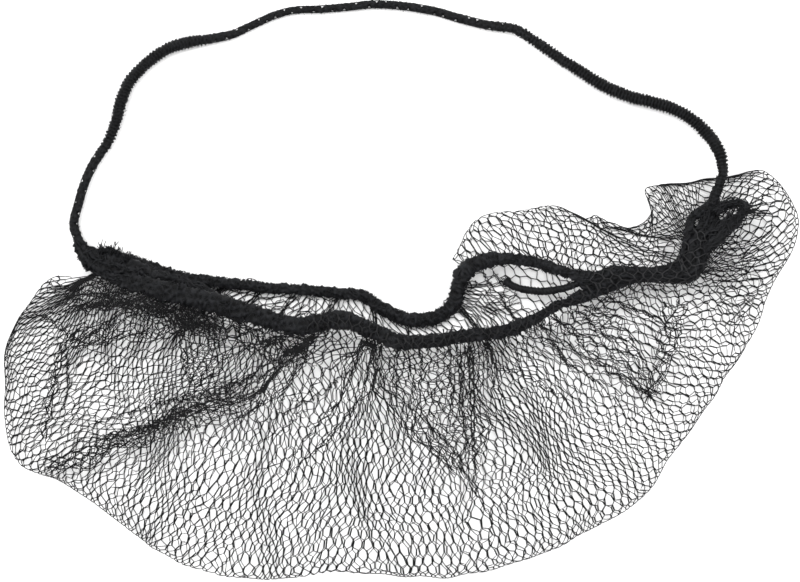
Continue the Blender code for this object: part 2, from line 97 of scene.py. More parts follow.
# The neck loop: a tube of elastic yarn, knitted on a small round machine. Where it is slack the courses stand
# close together as ribs, and where it is drawn out it is thin, with small openings along both its sides.
NET_WIDTH = 0.260
NET_DEPTH = 0.134
LEFT_KNOT = (10.8, 79.0)
RIGHT_KNOT = (89.1, 91.7)
KNOT_DIAMETER = 0.0096
LOOP_DIAMETER = 0.0046
LOOP_LANDING = 0.0180
LOOP_SIDES = 28
LOOP_WALES = 7
LOOP_HAIRS = 2200
KNIT_PITCH = 0.00023
COURSE = 0.00112
DRAWN_COURSE = 0.0011
STITCH_DEPTH = 0.00062
SLACK_SWELL = 0.0001
OPENING_LENGTH = 0.00036
OPENING_DEPTH = 0.00085
OPENING_SPACING = (0.0022, 0.0046)
FIRST_OPENING = 0.004
# how strongly painted shade darkens a cord where it is pushed in
DENT_SHADE = 1100.0
LOWEST = 0.00004
UPRIGHT = (0.0, 0.0, 1.0)
# x and y in hundredths of the net's width and depth, and the loop's width as a share of its diameter
LOOP_ROUTE = (
    (10.0, 81.5, 0.75), (9.3, 84.4, 0.75), (9.0, 87.6, 0.70), (9.6, 92.2, 0.68), (10.4, 97.3, 0.70),
    (11.6, 102.2, 0.72), (13.2, 106.8, 0.82), (14.3, 112.0, 0.92), (15.0, 117.3, 0.98), (16.2, 122.2, 0.98),
    (18.5, 126.8, 0.96), (20.9, 129.9, 0.96), (23.4, 131.4, 0.96), (25.7, 132.1, 0.80), (28.8, 133.3, 0.64),
    (30.8, 135.0, 0.60), (34.2, 138.0, 0.58), (36.9, 139.3, 0.56), (39.7, 139.5, 0.58), (43.1, 140.0, 0.60),
    (46.9, 140.7, 0.62), (50.7, 140.2, 0.63), (54.4, 139.0, 0.65), (57.8, 137.1, 0.68), (61.1, 135.6, 0.72),
    (64.5, 134.6, 0.80), (67.0, 131.7, 0.85), (69.9, 127.8, 0.90), (72.9, 124.1, 0.95), (75.9, 120.5, 1.00),
    (79.2, 118.0, 1.00), (82.1, 116.6, 1.00), (84.7, 114.9, 1.00), (87.0, 112.2, 1.00), (89.0, 108.3, 1.00),
    (90.2, 104.1, 0.95), (90.5, 99.8, 0.85), (90.0, 96.1, 0.80),
)


def plan(shares):
    """Places in the plan for shares of the net: x in hundredths of its width, y in those of its depth."""
    shares = np.asarray(shares, float) / 100 - 0.5
    return np.stack([NET_WIDTH * shares[..., 0], NET_DEPTH * shares[..., 1]], axis=-1)


def smooth(points, steps):
    """A Catmull-Rom curve through the given points, with so many steps to each span."""
    points = np.asarray(points, float)
    last = len(points) - 1
    where = np.arange(last * steps + 1) / steps
    i = np.minimum(where.astype(int), last - 1)
    t = (where - i)[:, None]
    before, start = points[np.maximum(i - 1, 0)], points[i]
    end, after = points[i + 1], points[np.minimum(i + 2, last)]
    return 0.5 * (2 * start + (end - before) * t + (2 * before - 5 * start + 4 * end - after) * t ** 2
                  + (3 * start - before - 3 * end + after) * t ** 3)


def traced(rows, steps):
    """A smooth line through rows of shares of the net in the plan. Their further columns go along with it."""
    rows = np.asarray(rows, float)
    return smooth(np.column_stack([plan(rows[:, :2]), rows[:, 2:]]), steps)


def run_of(line):
    """Distance along a line in the plan to each of its points."""
    return np.concatenate([[0.0], np.cumsum(np.linalg.norm(np.diff(line[:, :2], axis=0), axis=1))])


def along_line(line, distance):
    """Points of a line at distances along it in the plan."""
    run = run_of(line)
    return np.stack([np.interp(distance, run, line[:, k]) for k in range(line.shape[1])], axis=-1)


def evenly(line, pitch):
    """The line with its points a pitch apart."""
    run = run_of(line)
    return along_line(line, np.linspace(0.0, run[-1], max(2, round(run[-1] / pitch) + 1)))


def grow(value):
    """Rises smoothly from 0 at 0 to 1 at 1."""
    t = np.clip(value, 0.0, 1.0)
    return t * t * (3 - 2 * t)


def unit(vectors):
    """The vectors at length one."""
    return vectors / np.maximum(np.linalg.norm(vectors, axis=-1, keepdims=True), 1e-12)


def drift(count, length, draw):
    """A smooth random run of values, mostly from -1 to 1, which turns over about every so many places."""
    knots = draw.normal(0.0, 0.6, math.ceil(count / length) + 3)
    return smooth(knots[:, None], 8)[:, 0][np.round(np.arange(count) / length * 8).astype(int)]


def tubes(name, paths, across, radius, relief=None):
    """A mesh of tubes with closed ends, one down each path. The radius goes all round each place of a path,
    and relief, where it is given, is kept as an attribute, with which the material paints shade and
    highlight."""
    count, length = paths.shape[:2]
    sides = radius.shape[2]
    along = unit(np.gradient(paths, axis=1))
    side = unit(across - (across * along).sum(2, keepdims=True) * along)
    up = np.cross(along, side)
    turn = np.arange(sides) * math.tau / sides
    spoke = side[:, :, None] * np.cos(turn)[:, None] + up[:, :, None] * np.sin(turn)[:, None]
    rings = paths[:, :, None] + spoke * radius[..., None]
    rings[..., 2] = np.maximum(rings[..., 2], LOWEST)
    corner = np.arange(count * length * sides).reshape(count, length, sides)
    near, far = corner[:, :-1], corner[:, 1:]
    quads = np.stack([near, np.roll(near, -1, 2), np.roll(far, -1, 2), far], axis=-1).reshape(-1)
    caps = np.concatenate([corner[:, 0, ::-1].reshape(-1), corner[:, -1].reshape(-1)])
    walls = len(quads) // 4
    starts = np.concatenate([np.arange(walls) * 4, len(quads) + np.arange(2 * count) * sides])
    mesh = bpy.data.meshes.new(name)
    mesh.vertices.add(count * length * sides)
    mesh.vertices.foreach_set("co", rings.reshape(-1))
    mesh.loops.add(len(quads) + len(caps))
    mesh.loops.foreach_set("vertex_index", np.concatenate([quads, caps]).astype(np.int32))
    mesh.polygons.add(len(starts))
    mesh.polygons.foreach_set("loop_start", starts.astype(np.int32))
    mesh.update(calc_edges=True)
    mesh.polygons.foreach_set("use_smooth", [True] * len(starts))
    if relief is not None:
        kept = mesh.attributes.new("relief", "FLOAT", "POINT")
        kept.data.foreach_set("value", np.broadcast_to(relief, radius.shape).reshape(-1).astype(np.float32))
    made = bpy.data.objects.new(name, mesh)
    bpy.context.scene.collection.objects.link(made)
    return made


def sideways(line):
    """The direction to the right of a line at each of its points, level with the table."""
    ahead = np.gradient(line[:, :2], axis=0)
    return unit(np.stack([ahead[:, 1], -ahead[:, 0], np.zeros(len(line))], axis=-1))


def knit_relief(line, sides, course, wales, seed):
    """How far the stitches of a knitted cord stand out all round each place of the line, from 0 in grooves
    to 1 on ridges. course is the length of a stitch at each place."""
    draw = np.random.default_rng(seed)
    step = np.linalg.norm(np.diff(line[:, :3], axis=0), axis=1)
    phase = np.concatenate([[0.0], np.cumsum(step / course[1:])])[:, None]
    turn = np.arange(sides)[None, :] / sides
    wale = np.abs(2 * ((turn * wales) % 1.0) - 1)
    chevron = np.cos(math.tau * (phase - 0.42 * wale))
    grain = draw.normal(0.0, 1.0, (len(line), sides))
    grain = (grain + np.roll(grain, 1, 0) + np.roll(grain, 2, 0) + np.roll(grain, 1, 1)) / 2
    slow = np.stack([drift(len(line), 9, draw) for _ in range(4)], axis=1)[:, np.arange(sides) * 4 // sides]
    return np.clip(0.55 + 0.26 * chevron + 0.10 * (1 - 2 * wale ** 4) + 0.20 * grain + 0.16 * slow, 0.0, 1.2)


def add_node(tree, kind, values=(), **settings):
    """A shader node with its settings and its inputs' values."""
    made = tree.nodes.new(kind)
    for key, value in settings.items():
        setattr(made, key, value)
    for key, value in dict(values).items():
        made.inputs[key].default_value = value
    return made


# Filaments: the uneven black of dyed synthetic yarn, whose fine filaments catch the light here and there.
filaments = bpy.data.node_groups.new("filaments", "ShaderNodeTree")
for label, way, kind in (
        ("Dark", "INPUT", "Color"), ("Light", "INPUT", "Color"), ("Grain", "INPUT", "Float"),
        ("Patches", "INPUT", "Float"), ("Color", "OUTPUT", "Color"), ("Roughness", "OUTPUT", "Float"),
        ("Height", "OUTPUT", "Float")):
    filaments.interface.new_socket(label, in_out=way, socket_type="NodeSocket" + kind)
enter = add_node(filaments, "NodeGroupInput")
leave = add_node(filaments, "NodeGroupOutput")
place = add_node(filaments, "ShaderNodeTexCoord")
fine = add_node(filaments, "ShaderNodeTexNoise", {"Detail": 3.0, "Roughness": 0.6})
broad = add_node(filaments, "ShaderNodeTexNoise", {"Detail": 2.0})
spread = add_node(filaments, "ShaderNodeMapRange", {"From Min": 0.35, "From Max": 0.75})
share = add_node(filaments, "ShaderNodeMath", {1: 0.65}, operation="MULTIPLY_ADD")
blend = add_node(filaments, "ShaderNodeMix", data_type="RGBA")
polish = add_node(filaments, "ShaderNodeMapRange", {"To Min": 0.70, "To Max": 0.45})
for start, end in (
        (place.outputs["Object"], fine.inputs["Vector"]), (place.outputs["Object"], broad.inputs["Vector"]),
        (enter.outputs["Grain"], fine.inputs["Scale"]), (enter.outputs["Patches"], broad.inputs["Scale"]),
        (fine.outputs["Fac"], spread.inputs["Value"]), (spread.outputs["Result"], share.inputs[0]),
        (broad.outputs["Fac"], share.inputs[2]), (share.outputs["Value"], blend.inputs["Factor"]),
        (enter.outputs["Dark"], blend.inputs["A"]), (enter.outputs["Light"], blend.inputs["B"]),
        (fine.outputs["Fac"], polish.inputs["Value"]), (blend.outputs["Result"], leave.inputs["Color"]),
        (polish.outputs["Result"], leave.inputs["Roughness"]), (fine.outputs["Fac"], leave.inputs["Height"])):
    filaments.links.new(start, end)


def yarn_material(name, dark, light, grain, patches, bump, stitch_shade):
    """Black yarn in the filaments' finish. Where it is knitted, painted shade darkens it down in the stitches
    and painted highlight lightens the ridges, after the relief attribute.
    """
    material = bpy.data.materials.new(name)
    material.use_nodes = True
    tree = material.node_tree
    shader = tree.nodes["Principled BSDF"]
    shader.inputs["Specular IOR Level"].default_value = 0.12
    finish = add_node(tree, "ShaderNodeGroup", node_tree=filaments)
    finish.inputs["Dark"].default_value = (*dark, 1.0)
    finish.inputs["Light"].default_value = (*light, 1.0)
    finish.inputs["Grain"].default_value = grain
    finish.inputs["Patches"].default_value = patches
    colour = finish.outputs["Color"]
    if stitch_shade:
        # Painted shade and highlight: the relief scales the colour from a quarter in the grooves to a quarter
        # more on the ridges.
        stitch = add_node(tree, "ShaderNodeAttribute", attribute_name="relief")
        depth = add_node(tree, "ShaderNodeMapRange",
                         {"From Min": 0.15, "From Max": 1.0, "To Min": 0.25, "To Max": 1.25})
        shade = add_node(tree, "ShaderNodeVectorMath", operation="MULTIPLY")
        tree.links.new(stitch.outputs["Fac"], depth.inputs["Value"])
        tree.links.new(colour, shade.inputs[0])
        tree.links.new(depth.outputs["Result"], shade.inputs[1])
        colour = shade.outputs["Vector"]
    raised = add_node(tree, "ShaderNodeBump", {"Strength": 0.6, "Distance": bump})
    tree.links.new(finish.outputs["Height"], raised.inputs["Height"])
    tree.links.new(raised.outputs["Normal"], shader.inputs["Normal"])
    tree.links.new(finish.outputs["Roughness"], shader.inputs["Roughness"])
    tree.links.new(colour, shader.inputs["Base Color"])
    return material


elastic = yarn_material("knitted_elastic", (0.0015, 0.0016, 0.0020), (0.0095, 0.0100, 0.0115),
                        2600.0, 70.0, 0.0001, True)
fuzz = yarn_material("loose_filaments", (0.0020, 0.0021, 0.0025), (0.0130, 0.0135, 0.0150),
                     1800.0, 90.0, 0.0001, False)


def elastic_tube(name, line, radius, relief):
    """A cord of the elastic down a line, with the radius and the relief all round each of its places. The
    relief also puts painted shade into the cord's colour where it is low and painted highlight where it is
    high.
    """
    made = tubes(name, line[None, :, :3], sideways(line)[None], radius[None], relief[None])
    made.data.materials.append(elastic)
    return made


def tube_knit(name, line, diameter, sides, course, wales, depth, seed, dents=0.0):
    """A knitted cord down a line of places, each with its width as a share of the diameter. dents is how far
    it is pushed in all round each place, and where it is, painted shade makes it darker."""
    relief = knit_relief(line, sides, course, wales, seed)
    radius = diameter / 2 * line[:, 3:4] - depth * (1 - relief) - dents
    # Painted shade: the relief that colours the cord is lowered where it is pushed in, in the waists of the
    # ribs and the openings.
    relief = np.clip(relief - DENT_SHADE * np.maximum(dents, 0.0), 0.0, 1.2)
    return elastic_tube(name, line, radius, relief)


def strands(name, paths, across, radius, sides=4):
    """Loose yarns or filaments: thin tubes of one thickness, one down each path."""
    made = tubes(name, paths, np.broadcast_to(np.array(across), paths.shape),
                 np.full(paths.shape[:2] + (sides,), radius))
    made.data.materials.append(fuzz)
    return made


def hairs(name, line, diameter, count, reach, radius, seed):
    """Short loose filaments that stand out from a cord."""
    draw = np.random.default_rng(seed)
    start = draw.integers(1, len(line) - 1, count)
    turn = draw.uniform(-0.25, 1.25, count) * math.pi
    right = sideways(line)[start]
    out = right * np.cos(turn)[:, None] + np.array(UPRIGHT) * np.sin(turn)[:, None]
    root = line[start, :3] + out * (diameter * 0.42 * line[start, 3])[:, None]
    lean = unit(out + draw.normal(0.0, 0.7, (count, 3)))
    curl = draw.normal(0.0, 0.5, (count, 3))
    size = reach * draw.uniform(0.4, 1.0, count)[:, None]
    steps = np.linspace(0.0, 1.0, 3)
    paths = root[:, None] + lean[:, None] * (size[:, None] * steps[None, :, None])
    paths = paths + curl[:, None] * (size[:, None] * 0.6 * steps[None, :, None] ** 2)
    paths[..., 2] = np.maximum(paths[..., 2], 0.0002)
    return strands(name, paths, (0.3, 0.9, 0.2), radius, 3)


loop_line = traced((LEFT_KNOT + (0.75,), *LOOP_ROUTE, RIGHT_KNOT + (0.80,)), 8)
knot_gap = np.linalg.norm(loop_line[:, :2] - plan(RIGHT_KNOT), axis=1) - KNOT_DIAMETER
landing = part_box("neck_loop")[1].z - 0.80 * LOOP_DIAMETER
height = loop_line[:, 2] * LOOP_DIAMETER / 2 + landing * grow(1 - knot_gap / LOOP_LANDING)
loop_line = evenly(np.column_stack([loop_line[:, :2], height, loop_line[:, 2]]), KNIT_PITCH)
drawn = 1 - grow((loop_line[:, 3] - 0.66) / 0.30)
loop_run = run_of(loop_line)
waists = 0.5 + 0.5 * np.cos(math.tau * loop_run / COURSE)
ribs = STITCH_DEPTH * (1 - drawn) * waists - SLACK_SWELL * (1 - drawn)
dents = np.repeat(ribs[:, None], LOOP_SIDES, axis=1)
turn = np.arange(LOOP_SIDES) * math.tau / LOOP_SIDES
draw = np.random.default_rng(21)
spot, side = FIRST_OPENING, 1.0
while spot < loop_run[-1] - FIRST_OPENING:
    hollow = np.exp(-((loop_run - spot) / OPENING_LENGTH) ** 2) * np.interp(spot, loop_run, drawn)
    dents += hollow[:, None] * np.clip(side * np.cos(turn), 0.0, 1.0)[None, :] ** 0.5 * OPENING_DEPTH
    spot += draw.uniform(*OPENING_SPACING)
    side = -side if draw.uniform() < 0.75 else side
neck_loop = tube_knit("neck_loop_knit", loop_line, LOOP_DIAMETER, LOOP_SIDES, COURSE + DRAWN_COURSE * drawn,
                      LOOP_WALES, STITCH_DEPTH, 31, dents)

# Two yarns run along its sides and bridge the openings there.
edge_paths = []
coarse = loop_line[::3]
loop_side = sideways(loop_line)[::3]
for side in (-1.0, 1.0):
    scallop = 0.00006 * np.sin(run_of(coarse) / 0.0016 * math.tau + side)
    reach = coarse[:, 3] * LOOP_DIAMETER / 2 - 0.00024 - 0.00080 * (1 - drawn[::3]) + scallop
    edge_paths.append(coarse[:, :3] + loop_side * (side * reach)[:, None])
edge_yarn = strands("neck_loop_edge_yarns", np.array(edge_paths), UPRIGHT, 0.00017, 5)
loop_hairs = hairs("neck_loop_hairs", loop_line, LOOP_DIAMETER, LOOP_HAIRS, 0.0006, 0.00006, 5)

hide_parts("neck_loop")
for piece in (neck_loop, edge_yarn, loop_hairs):
    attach(piece, "root")

# The two edgings: flat knitted elastic sewn along both sides of the mouth. The back one lies on the table and
# then climbs over the lobes, and the front one stays on top of the puffed net. Their sides are ragged.
EDGING_DIAMETER = 0.0042
EDGING_SIDES = 24
EDGING_COURSE = 0.0013
EDGING_TWIST = 0.007
EDGING_HAIRS = 3600
# how far along each edging, and its width there as a share of the diameter
FRONT_WIDTHS = (
    (0.00, 0.30), (0.025, 0.60), (0.06, 1.25), (0.10, 1.50), (0.17, 1.55), (0.24, 1.45), (0.29, 1.35),
    (0.34, 1.50), (0.40, 1.35), (0.47, 1.12), (0.55, 1.00), (0.61, 0.95), (0.64, 1.00), (0.67, 0.66),
    (0.71, 0.58), (0.735, 1.05), (0.77, 0.65), (0.82, 0.45), (0.87, 0.75), (1.00, 0.60),
)
BACK_WIDTHS = (
    (0.00, 0.95), (0.12, 0.90), (0.25, 0.80), (0.36, 0.85), (0.44, 1.05), (0.50, 1.12), (0.55, 1.18),
    (0.58, 1.35), (0.61, 1.15), (0.66, 0.86), (0.76, 0.74), (0.82, 0.60), (0.87, 0.48), (0.92, 0.75),
    (1.00, 0.70),
)
# places on a lip, each with the place on the rim that the net hangs to there
FRONT_SECTIONS = (
    (11.7, 75.6, 10.3, 73.9), (13.1, 74.6, 7.3, 74.9), (14.1, 73.9, 4.9, 71.5), (15.2, 73.2, 2.5, 64.1),
    (16.5, 72.4, 0.9, 57.6), (17.9, 72.0, 0.2, 47.8), (19.5, 71.2, 0.4, 36.8), (21.6, 70.2, 2.5, 28.5),
    (24.7, 68.8, 7.3, 23.2), (28.3, 67.1, 13.6, 15.9), (32.6, 64.4, 20.5, 6.1), (37.5, 62.2, 28.0, 1.7),
    (42.5, 63.7, 35.6, 0.2), (46.3, 61.2, 41.9, 2.4), (50.0, 58.3, 48.1, 1.7), (53.8, 58.5, 53.8, 1.0),
    (58.2, 59.8, 59.5, 2.2), (62.6, 60.7, 65.1, 5.1), (66.4, 63.4, 70.8, 8.8), (69.5, 66.8, 76.4, 15.6),
    (72.3, 69.0, 81.2, 22.0), (75.5, 71.0, 84.6, 30.7), (79.2, 73.2, 88.3, 40.7), (82.9, 73.9, 92.1, 52.7),
    (86.0, 73.9, 95.3, 64.9), (87.6, 77.3, 98.6, 77.8), (88.4, 80.9, 99.9, 87.1), (89.2, 84.4, 98.6, 94.6),
    (89.6, 87.1, 96.3, 99.8), (89.4, 89.0, 93.0, 99.5), (89.4, 90.0, 90.0, 98.3),
)
LOW_LIP = (
    (12.7, 79.6), (14.6, 78.8), (16.7, 77.8), (19.3, 76.1), (22.1, 74.1), (25.5, 73.2), (29.3, 72.4),
    (33.1, 71.5), (37.5, 71.0), (41.9, 70.2), (45.3, 69.5), (47.8, 66.3), (50.7, 63.9), (53.2, 63.7),
    (55.3, 64.9), (56.9, 67.8), (57.4, 71.7), (57.8, 74.6),
)
LOBE_SECTIONS = (
    (58.6, 76.3, 56.8, 78.5), (59.6, 77.3, 57.9, 82.2), (61.1, 78.1, 59.1, 86.1), (62.6, 78.5, 60.2, 88.3),
    (64.5, 78.4, 62.0, 89.3), (66.8, 77.7, 65.6, 90.0), (69.1, 76.3, 69.3, 91.0), (70.2, 75.6, 70.9, 90.2),
    (72.0, 74.6, 73.1, 87.6), (73.4, 74.5, 74.7, 88.8), (74.6, 74.4, 75.9, 86.8), (76.2, 74.8, 77.7, 85.9),
    (79.0, 75.4, 80.2, 87.6), (81.5, 75.7, 81.3, 90.5), (83.8, 76.4, 80.7, 95.1), (85.0, 77.7, 81.6, 96.1),
    (85.7, 80.5, 84.3, 96.1), (86.6, 88.5, 88.6, 97.8),
)
PUFF_HEIGHT = 0.0082
PUFF_REACH = 0.0120
RIM_RADIUS = 0.0016
RIM_INSET = 0.0022
LOW_THREADS = 0.0005
# creases and ridges of the front net, with their width as a share of its depth and their height of its puff
Fold = namedtuple("Fold", "start_x start_y end_x end_y half_width height")
FOLDS = (
    Fold(7.8, 56.0, 6.1, 38.8, 0.05, -0.40), Fold(15.9, 35.1, 38.2, 55.6, 0.08, -0.38),
    Fold(22.3, 66.8, 28.7, 59.3, 0.07, -0.36), Fold(38.2, 54.4, 27.0, 33.9, 0.07, 0.30),
    Fold(46.3, 58.0, 46.5, 48.0, 0.06, -0.38), Fold(45.9, 46.3, 38.2, 30.7, 0.06, 0.25),
    Fold(61.3, 57.6, 61.8, 52.4, 0.05, -0.38), Fold(58.7, 52.2, 59.3, 23.4, 0.05, -0.35),
    Fold(53.5, 35.9, 57.7, 10.5, 0.06, 0.25), Fold(69.2, 64.6, 80.4, 46.1, 0.06, -0.35),
    Fold(62.2, 52.2, 69.2, 45.4, 0.05, 0.25), Fold(84.7, 69.0, 81.4, 45.4, 0.05, -0.38),
)
FINE = 6
front_lip = smooth(plan([s[:2] for s in FRONT_SECTIONS]), FINE)
front_rim = smooth(plan([s[2:] for s in FRONT_SECTIONS]), FINE)
lobe_lip = smooth(plan([s[:2] for s in LOBE_SECTIONS]), FINE)
lobe_rim = smooth(plan([s[2:] for s in LOBE_SECTIONS]), FINE)
low_lip = smooth(plan(LOW_LIP), FINE)
whole_rim = np.concatenate([front_rim, lobe_rim[::-1]])


def nearest_on(points, line):
    """For places in the plan, the way to the nearest part of a line and how far along the line that is."""
    best = np.full(points.shape[:-1], np.inf)
    way = np.zeros(points.shape[:-1] + (2,))
    where = np.zeros(points.shape[:-1])
    for i, (a, b) in enumerate(zip(line[:-1, :2], line[1:, :2])):
        span = b - a
        share = np.clip(((points - a) @ span) / max(span @ span, 1e-14), 0.0, 1.0)
        to = a + share[..., None] * span - points
        reach = (to ** 2).sum(-1)
        closer = reach < best
        best = np.where(closer, reach, best)
        way = np.where(closer[..., None], to, way)
        where = np.where(closer, i + share, where)
    return way, where


def line_reach(points, line):
    """Distance in the plan from each place to the nearest part of a line."""
    return np.linalg.norm(nearest_on(points, line)[0], axis=-1)


def front_height(points):
    """Height of the front net over places in the plan."""
    reach = np.maximum(line_reach(points, whole_rim[::3]) - RIM_INSET, 0.0)
    rise = 1 - np.exp(-reach / PUFF_REACH)
    for fold in FOLDS:
        line = plan([(fold.start_x, fold.start_y), (fold.end_x, fold.end_y)])
        nearness = 1 - line_reach(points, line) / (fold.half_width * NET_DEPTH)
        rise += fold.height * grow(nearness) * grow(reach / PUFF_REACH)
    return LOW_THREADS + 2 * RIM_RADIUS + PUFF_HEIGHT * rise


front_cord = evenly(front_lip, KNIT_PITCH)
front_width = np.interp(run_of(front_cord) / run_of(front_cord)[-1], *np.array(FRONT_WIDTHS).T)
front_cord = np.column_stack([front_cord, front_height(front_cord), front_width])
back_plan = evenly(np.concatenate([low_lip, lobe_lip, plan([RIGHT_KNOT])]), KNIT_PITCH)
climb = grow((run_of(back_plan) - run_of(low_lip)[-1] + 0.012) / 0.020)
back_height = EDGING_DIAMETER / 2 * (1 - climb) + front_height(back_plan) * climb
back_width = np.interp(run_of(back_plan) / run_of(back_plan)[-1], *np.array(BACK_WIDTHS).T)
back_cord = np.column_stack([back_plan, back_height, back_width])


def lumps(count, sides, draw):
    """A random relief round a cord: lumps some rings long and a few sides wide, mostly from -1 to 1."""
    grain = draw.normal(0.0, 1.0, (count, sides))
    for shift, axis in ((1, 0), (2, 0), (1, 1)):
        grain = (grain + np.roll(grain, shift, axis)) / math.sqrt(2)
    return np.clip(grain * 0.6, -1.8, 1.8)


def ragged_knit(name, line, diameter, depth, squash, ribs, seed):
    """A flat knitted edging, whose gathered stitches stand out unevenly on all sides. ribs is how clear its
    courses are, and the rest is twisted streaks."""
    draw = np.random.default_rng(seed)
    stitches = knit_relief(line, EDGING_SIDES, np.full(len(line), EDGING_COURSE), 5, seed)
    turn = np.arange(EDGING_SIDES) * math.tau / EDGING_SIDES
    twist = run_of(line)[:, None] * math.tau / EDGING_TWIST
    streaks = np.cos(5 * turn + twist + 3 * drift(len(line), 24, draw)[:, None])
    relief = ribs * stitches + 0.55 - 0.5 * ribs + (0.34 - ribs) * streaks
    relief = np.clip(relief + 0.50 * lumps(len(line), EDGING_SIDES, draw), -0.3, 1.6)
    radius = diameter / 2 * line[:, 3:4] * (1 - (1 - squash) * np.sin(turn)[None, :] ** 2)
    radius = radius - depth * (0.7 - relief)
    return elastic_tube(name, line, radius, relief)


front_edging = ragged_knit("front_edging_knit", front_cord, EDGING_DIAMETER, 0.0011, 0.70, 0.10, 41)
back_edging = ragged_knit("back_edging_knit", back_cord, EDGING_DIAMETER, 0.0009, 0.85, 0.28, 42)
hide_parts("front_edging")
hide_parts("back_edging")


def loose_yarns(name, line, count, spread, radius, seed, step=0.0008):
    """Crimped yarns that run along a line and wander about it within a spread of its width."""
    draw = np.random.default_rng(seed)
    short = evenly(line, step)
    right = sideways(short)
    paths = []
    for _ in range(count):
        turn = draw.uniform(0.0, math.tau) + 1.6 * drift(len(short), 7, draw)
        reach = (0.55 + 0.45 * np.abs(drift(len(short), 5, draw))) * short[:, 3] * spread
        crimp = draw.normal(0.0, 0.12, (len(short), 2)) * short[:, 3:4] * spread
        off = right * (reach * np.cos(turn) + crimp[:, 0])[:, None]
        off[:, 2] += reach * np.sin(turn) * 0.8 + crimp[:, 1]
        path = short[:, :3] + off
        path[:, 2] = np.maximum(path[:, 2], radius)
        paths.append(path)
    return strands(name, np.array(paths), UPRIGHT, radius)


front_yarns = loose_yarns("front_edging_yarns", front_cord, 14, EDGING_DIAMETER / 2, 0.00016, 51, 0.0007)
back_yarns = loose_yarns("back_edging_yarns", back_cord, 9, EDGING_DIAMETER / 2, 0.00016, 52, 0.0007)
front_hairs, back_hairs = (
    hairs(name, line, EDGING_DIAMETER, EDGING_HAIRS, 0.0008, 0.00008, seed)
    for name, line, seed in (("front_edging_hairs", front_cord, 6), ("back_edging_hairs", back_cord, 7)))
for piece in (front_edging, back_edging, front_yarns, back_yarns, front_hairs, back_hairs):
    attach(piece, "root")

# The honeycomb net. Two neighbouring threads run side by side down each cell wall and part below it, so every
# wall is two threads thick and every slant one. The columns hang from the front edging, fan out to the rim,
# turn under there in a round fold, and run back over the table to the other edging. Gathers fold the net onto
# itself. The fans say which part of a lip each part of the rim hangs from.
THREAD_RADIUS = 0.00014
WALL_SHARE = 0.30
PAIR_SPREAD = 0.00012
THREAD_FINISH = (1500.0, 40.0, 0.00005, False)
COLUMNS = 136
LOW_COLUMNS = 103
FRONT_ROWS = 23
BACK_ROWS = 28
LOBE_ROWS = 4
ROW_PITCH = 0.00376
RIM_FAN = ((0.0, 0.018), (0.32, 0.30), (0.73, 0.70), (1.0, 1.0))
FAN = (
    (0.000, 0.006), (0.036, 0.040), (0.063, 0.084), (0.085, 0.144), (0.115, 0.205), (0.150, 0.264),
    (0.178, 0.294), (0.211, 0.312), (0.254, 0.331), (0.305, 0.354), (0.345, 0.384), (0.365, 0.406),
    (0.430, 0.426), (0.455, 0.440), (0.490, 0.480), (0.520, 0.520), (0.545, 0.556), (0.590, 0.585),
    (0.612, 0.602), (0.651, 0.630), (0.686, 0.657), (0.719, 0.683), (0.757, 0.718), (0.801, 0.765),
    (0.843, 0.825), (0.887, 0.885), (0.941, 0.945), (1.000, 1.000),
)
LOW_FAN = ((0.0, 0.0), (0.300, 0.35), (0.620, 0.90), (0.734, 1.0))
MOUTH_SLANT = ((0.0, -0.8), (0.35, -1.2), (0.60, -0.4), (0.75, 0.2), (0.90, 0.4), (1.0, 0.3))
SLANT_REACH = 0.0090
RIM_CLOSING = 0.0028
RIM_SPAN = 0.0050
PLEATS = 30
RIPPLE = 0.0002
RIPPLE_LENGTH = 0.006
BROAD_DRIFT = 0.034
SHORT_DRIFT = 0.012
RIM_HOLD = 0.012
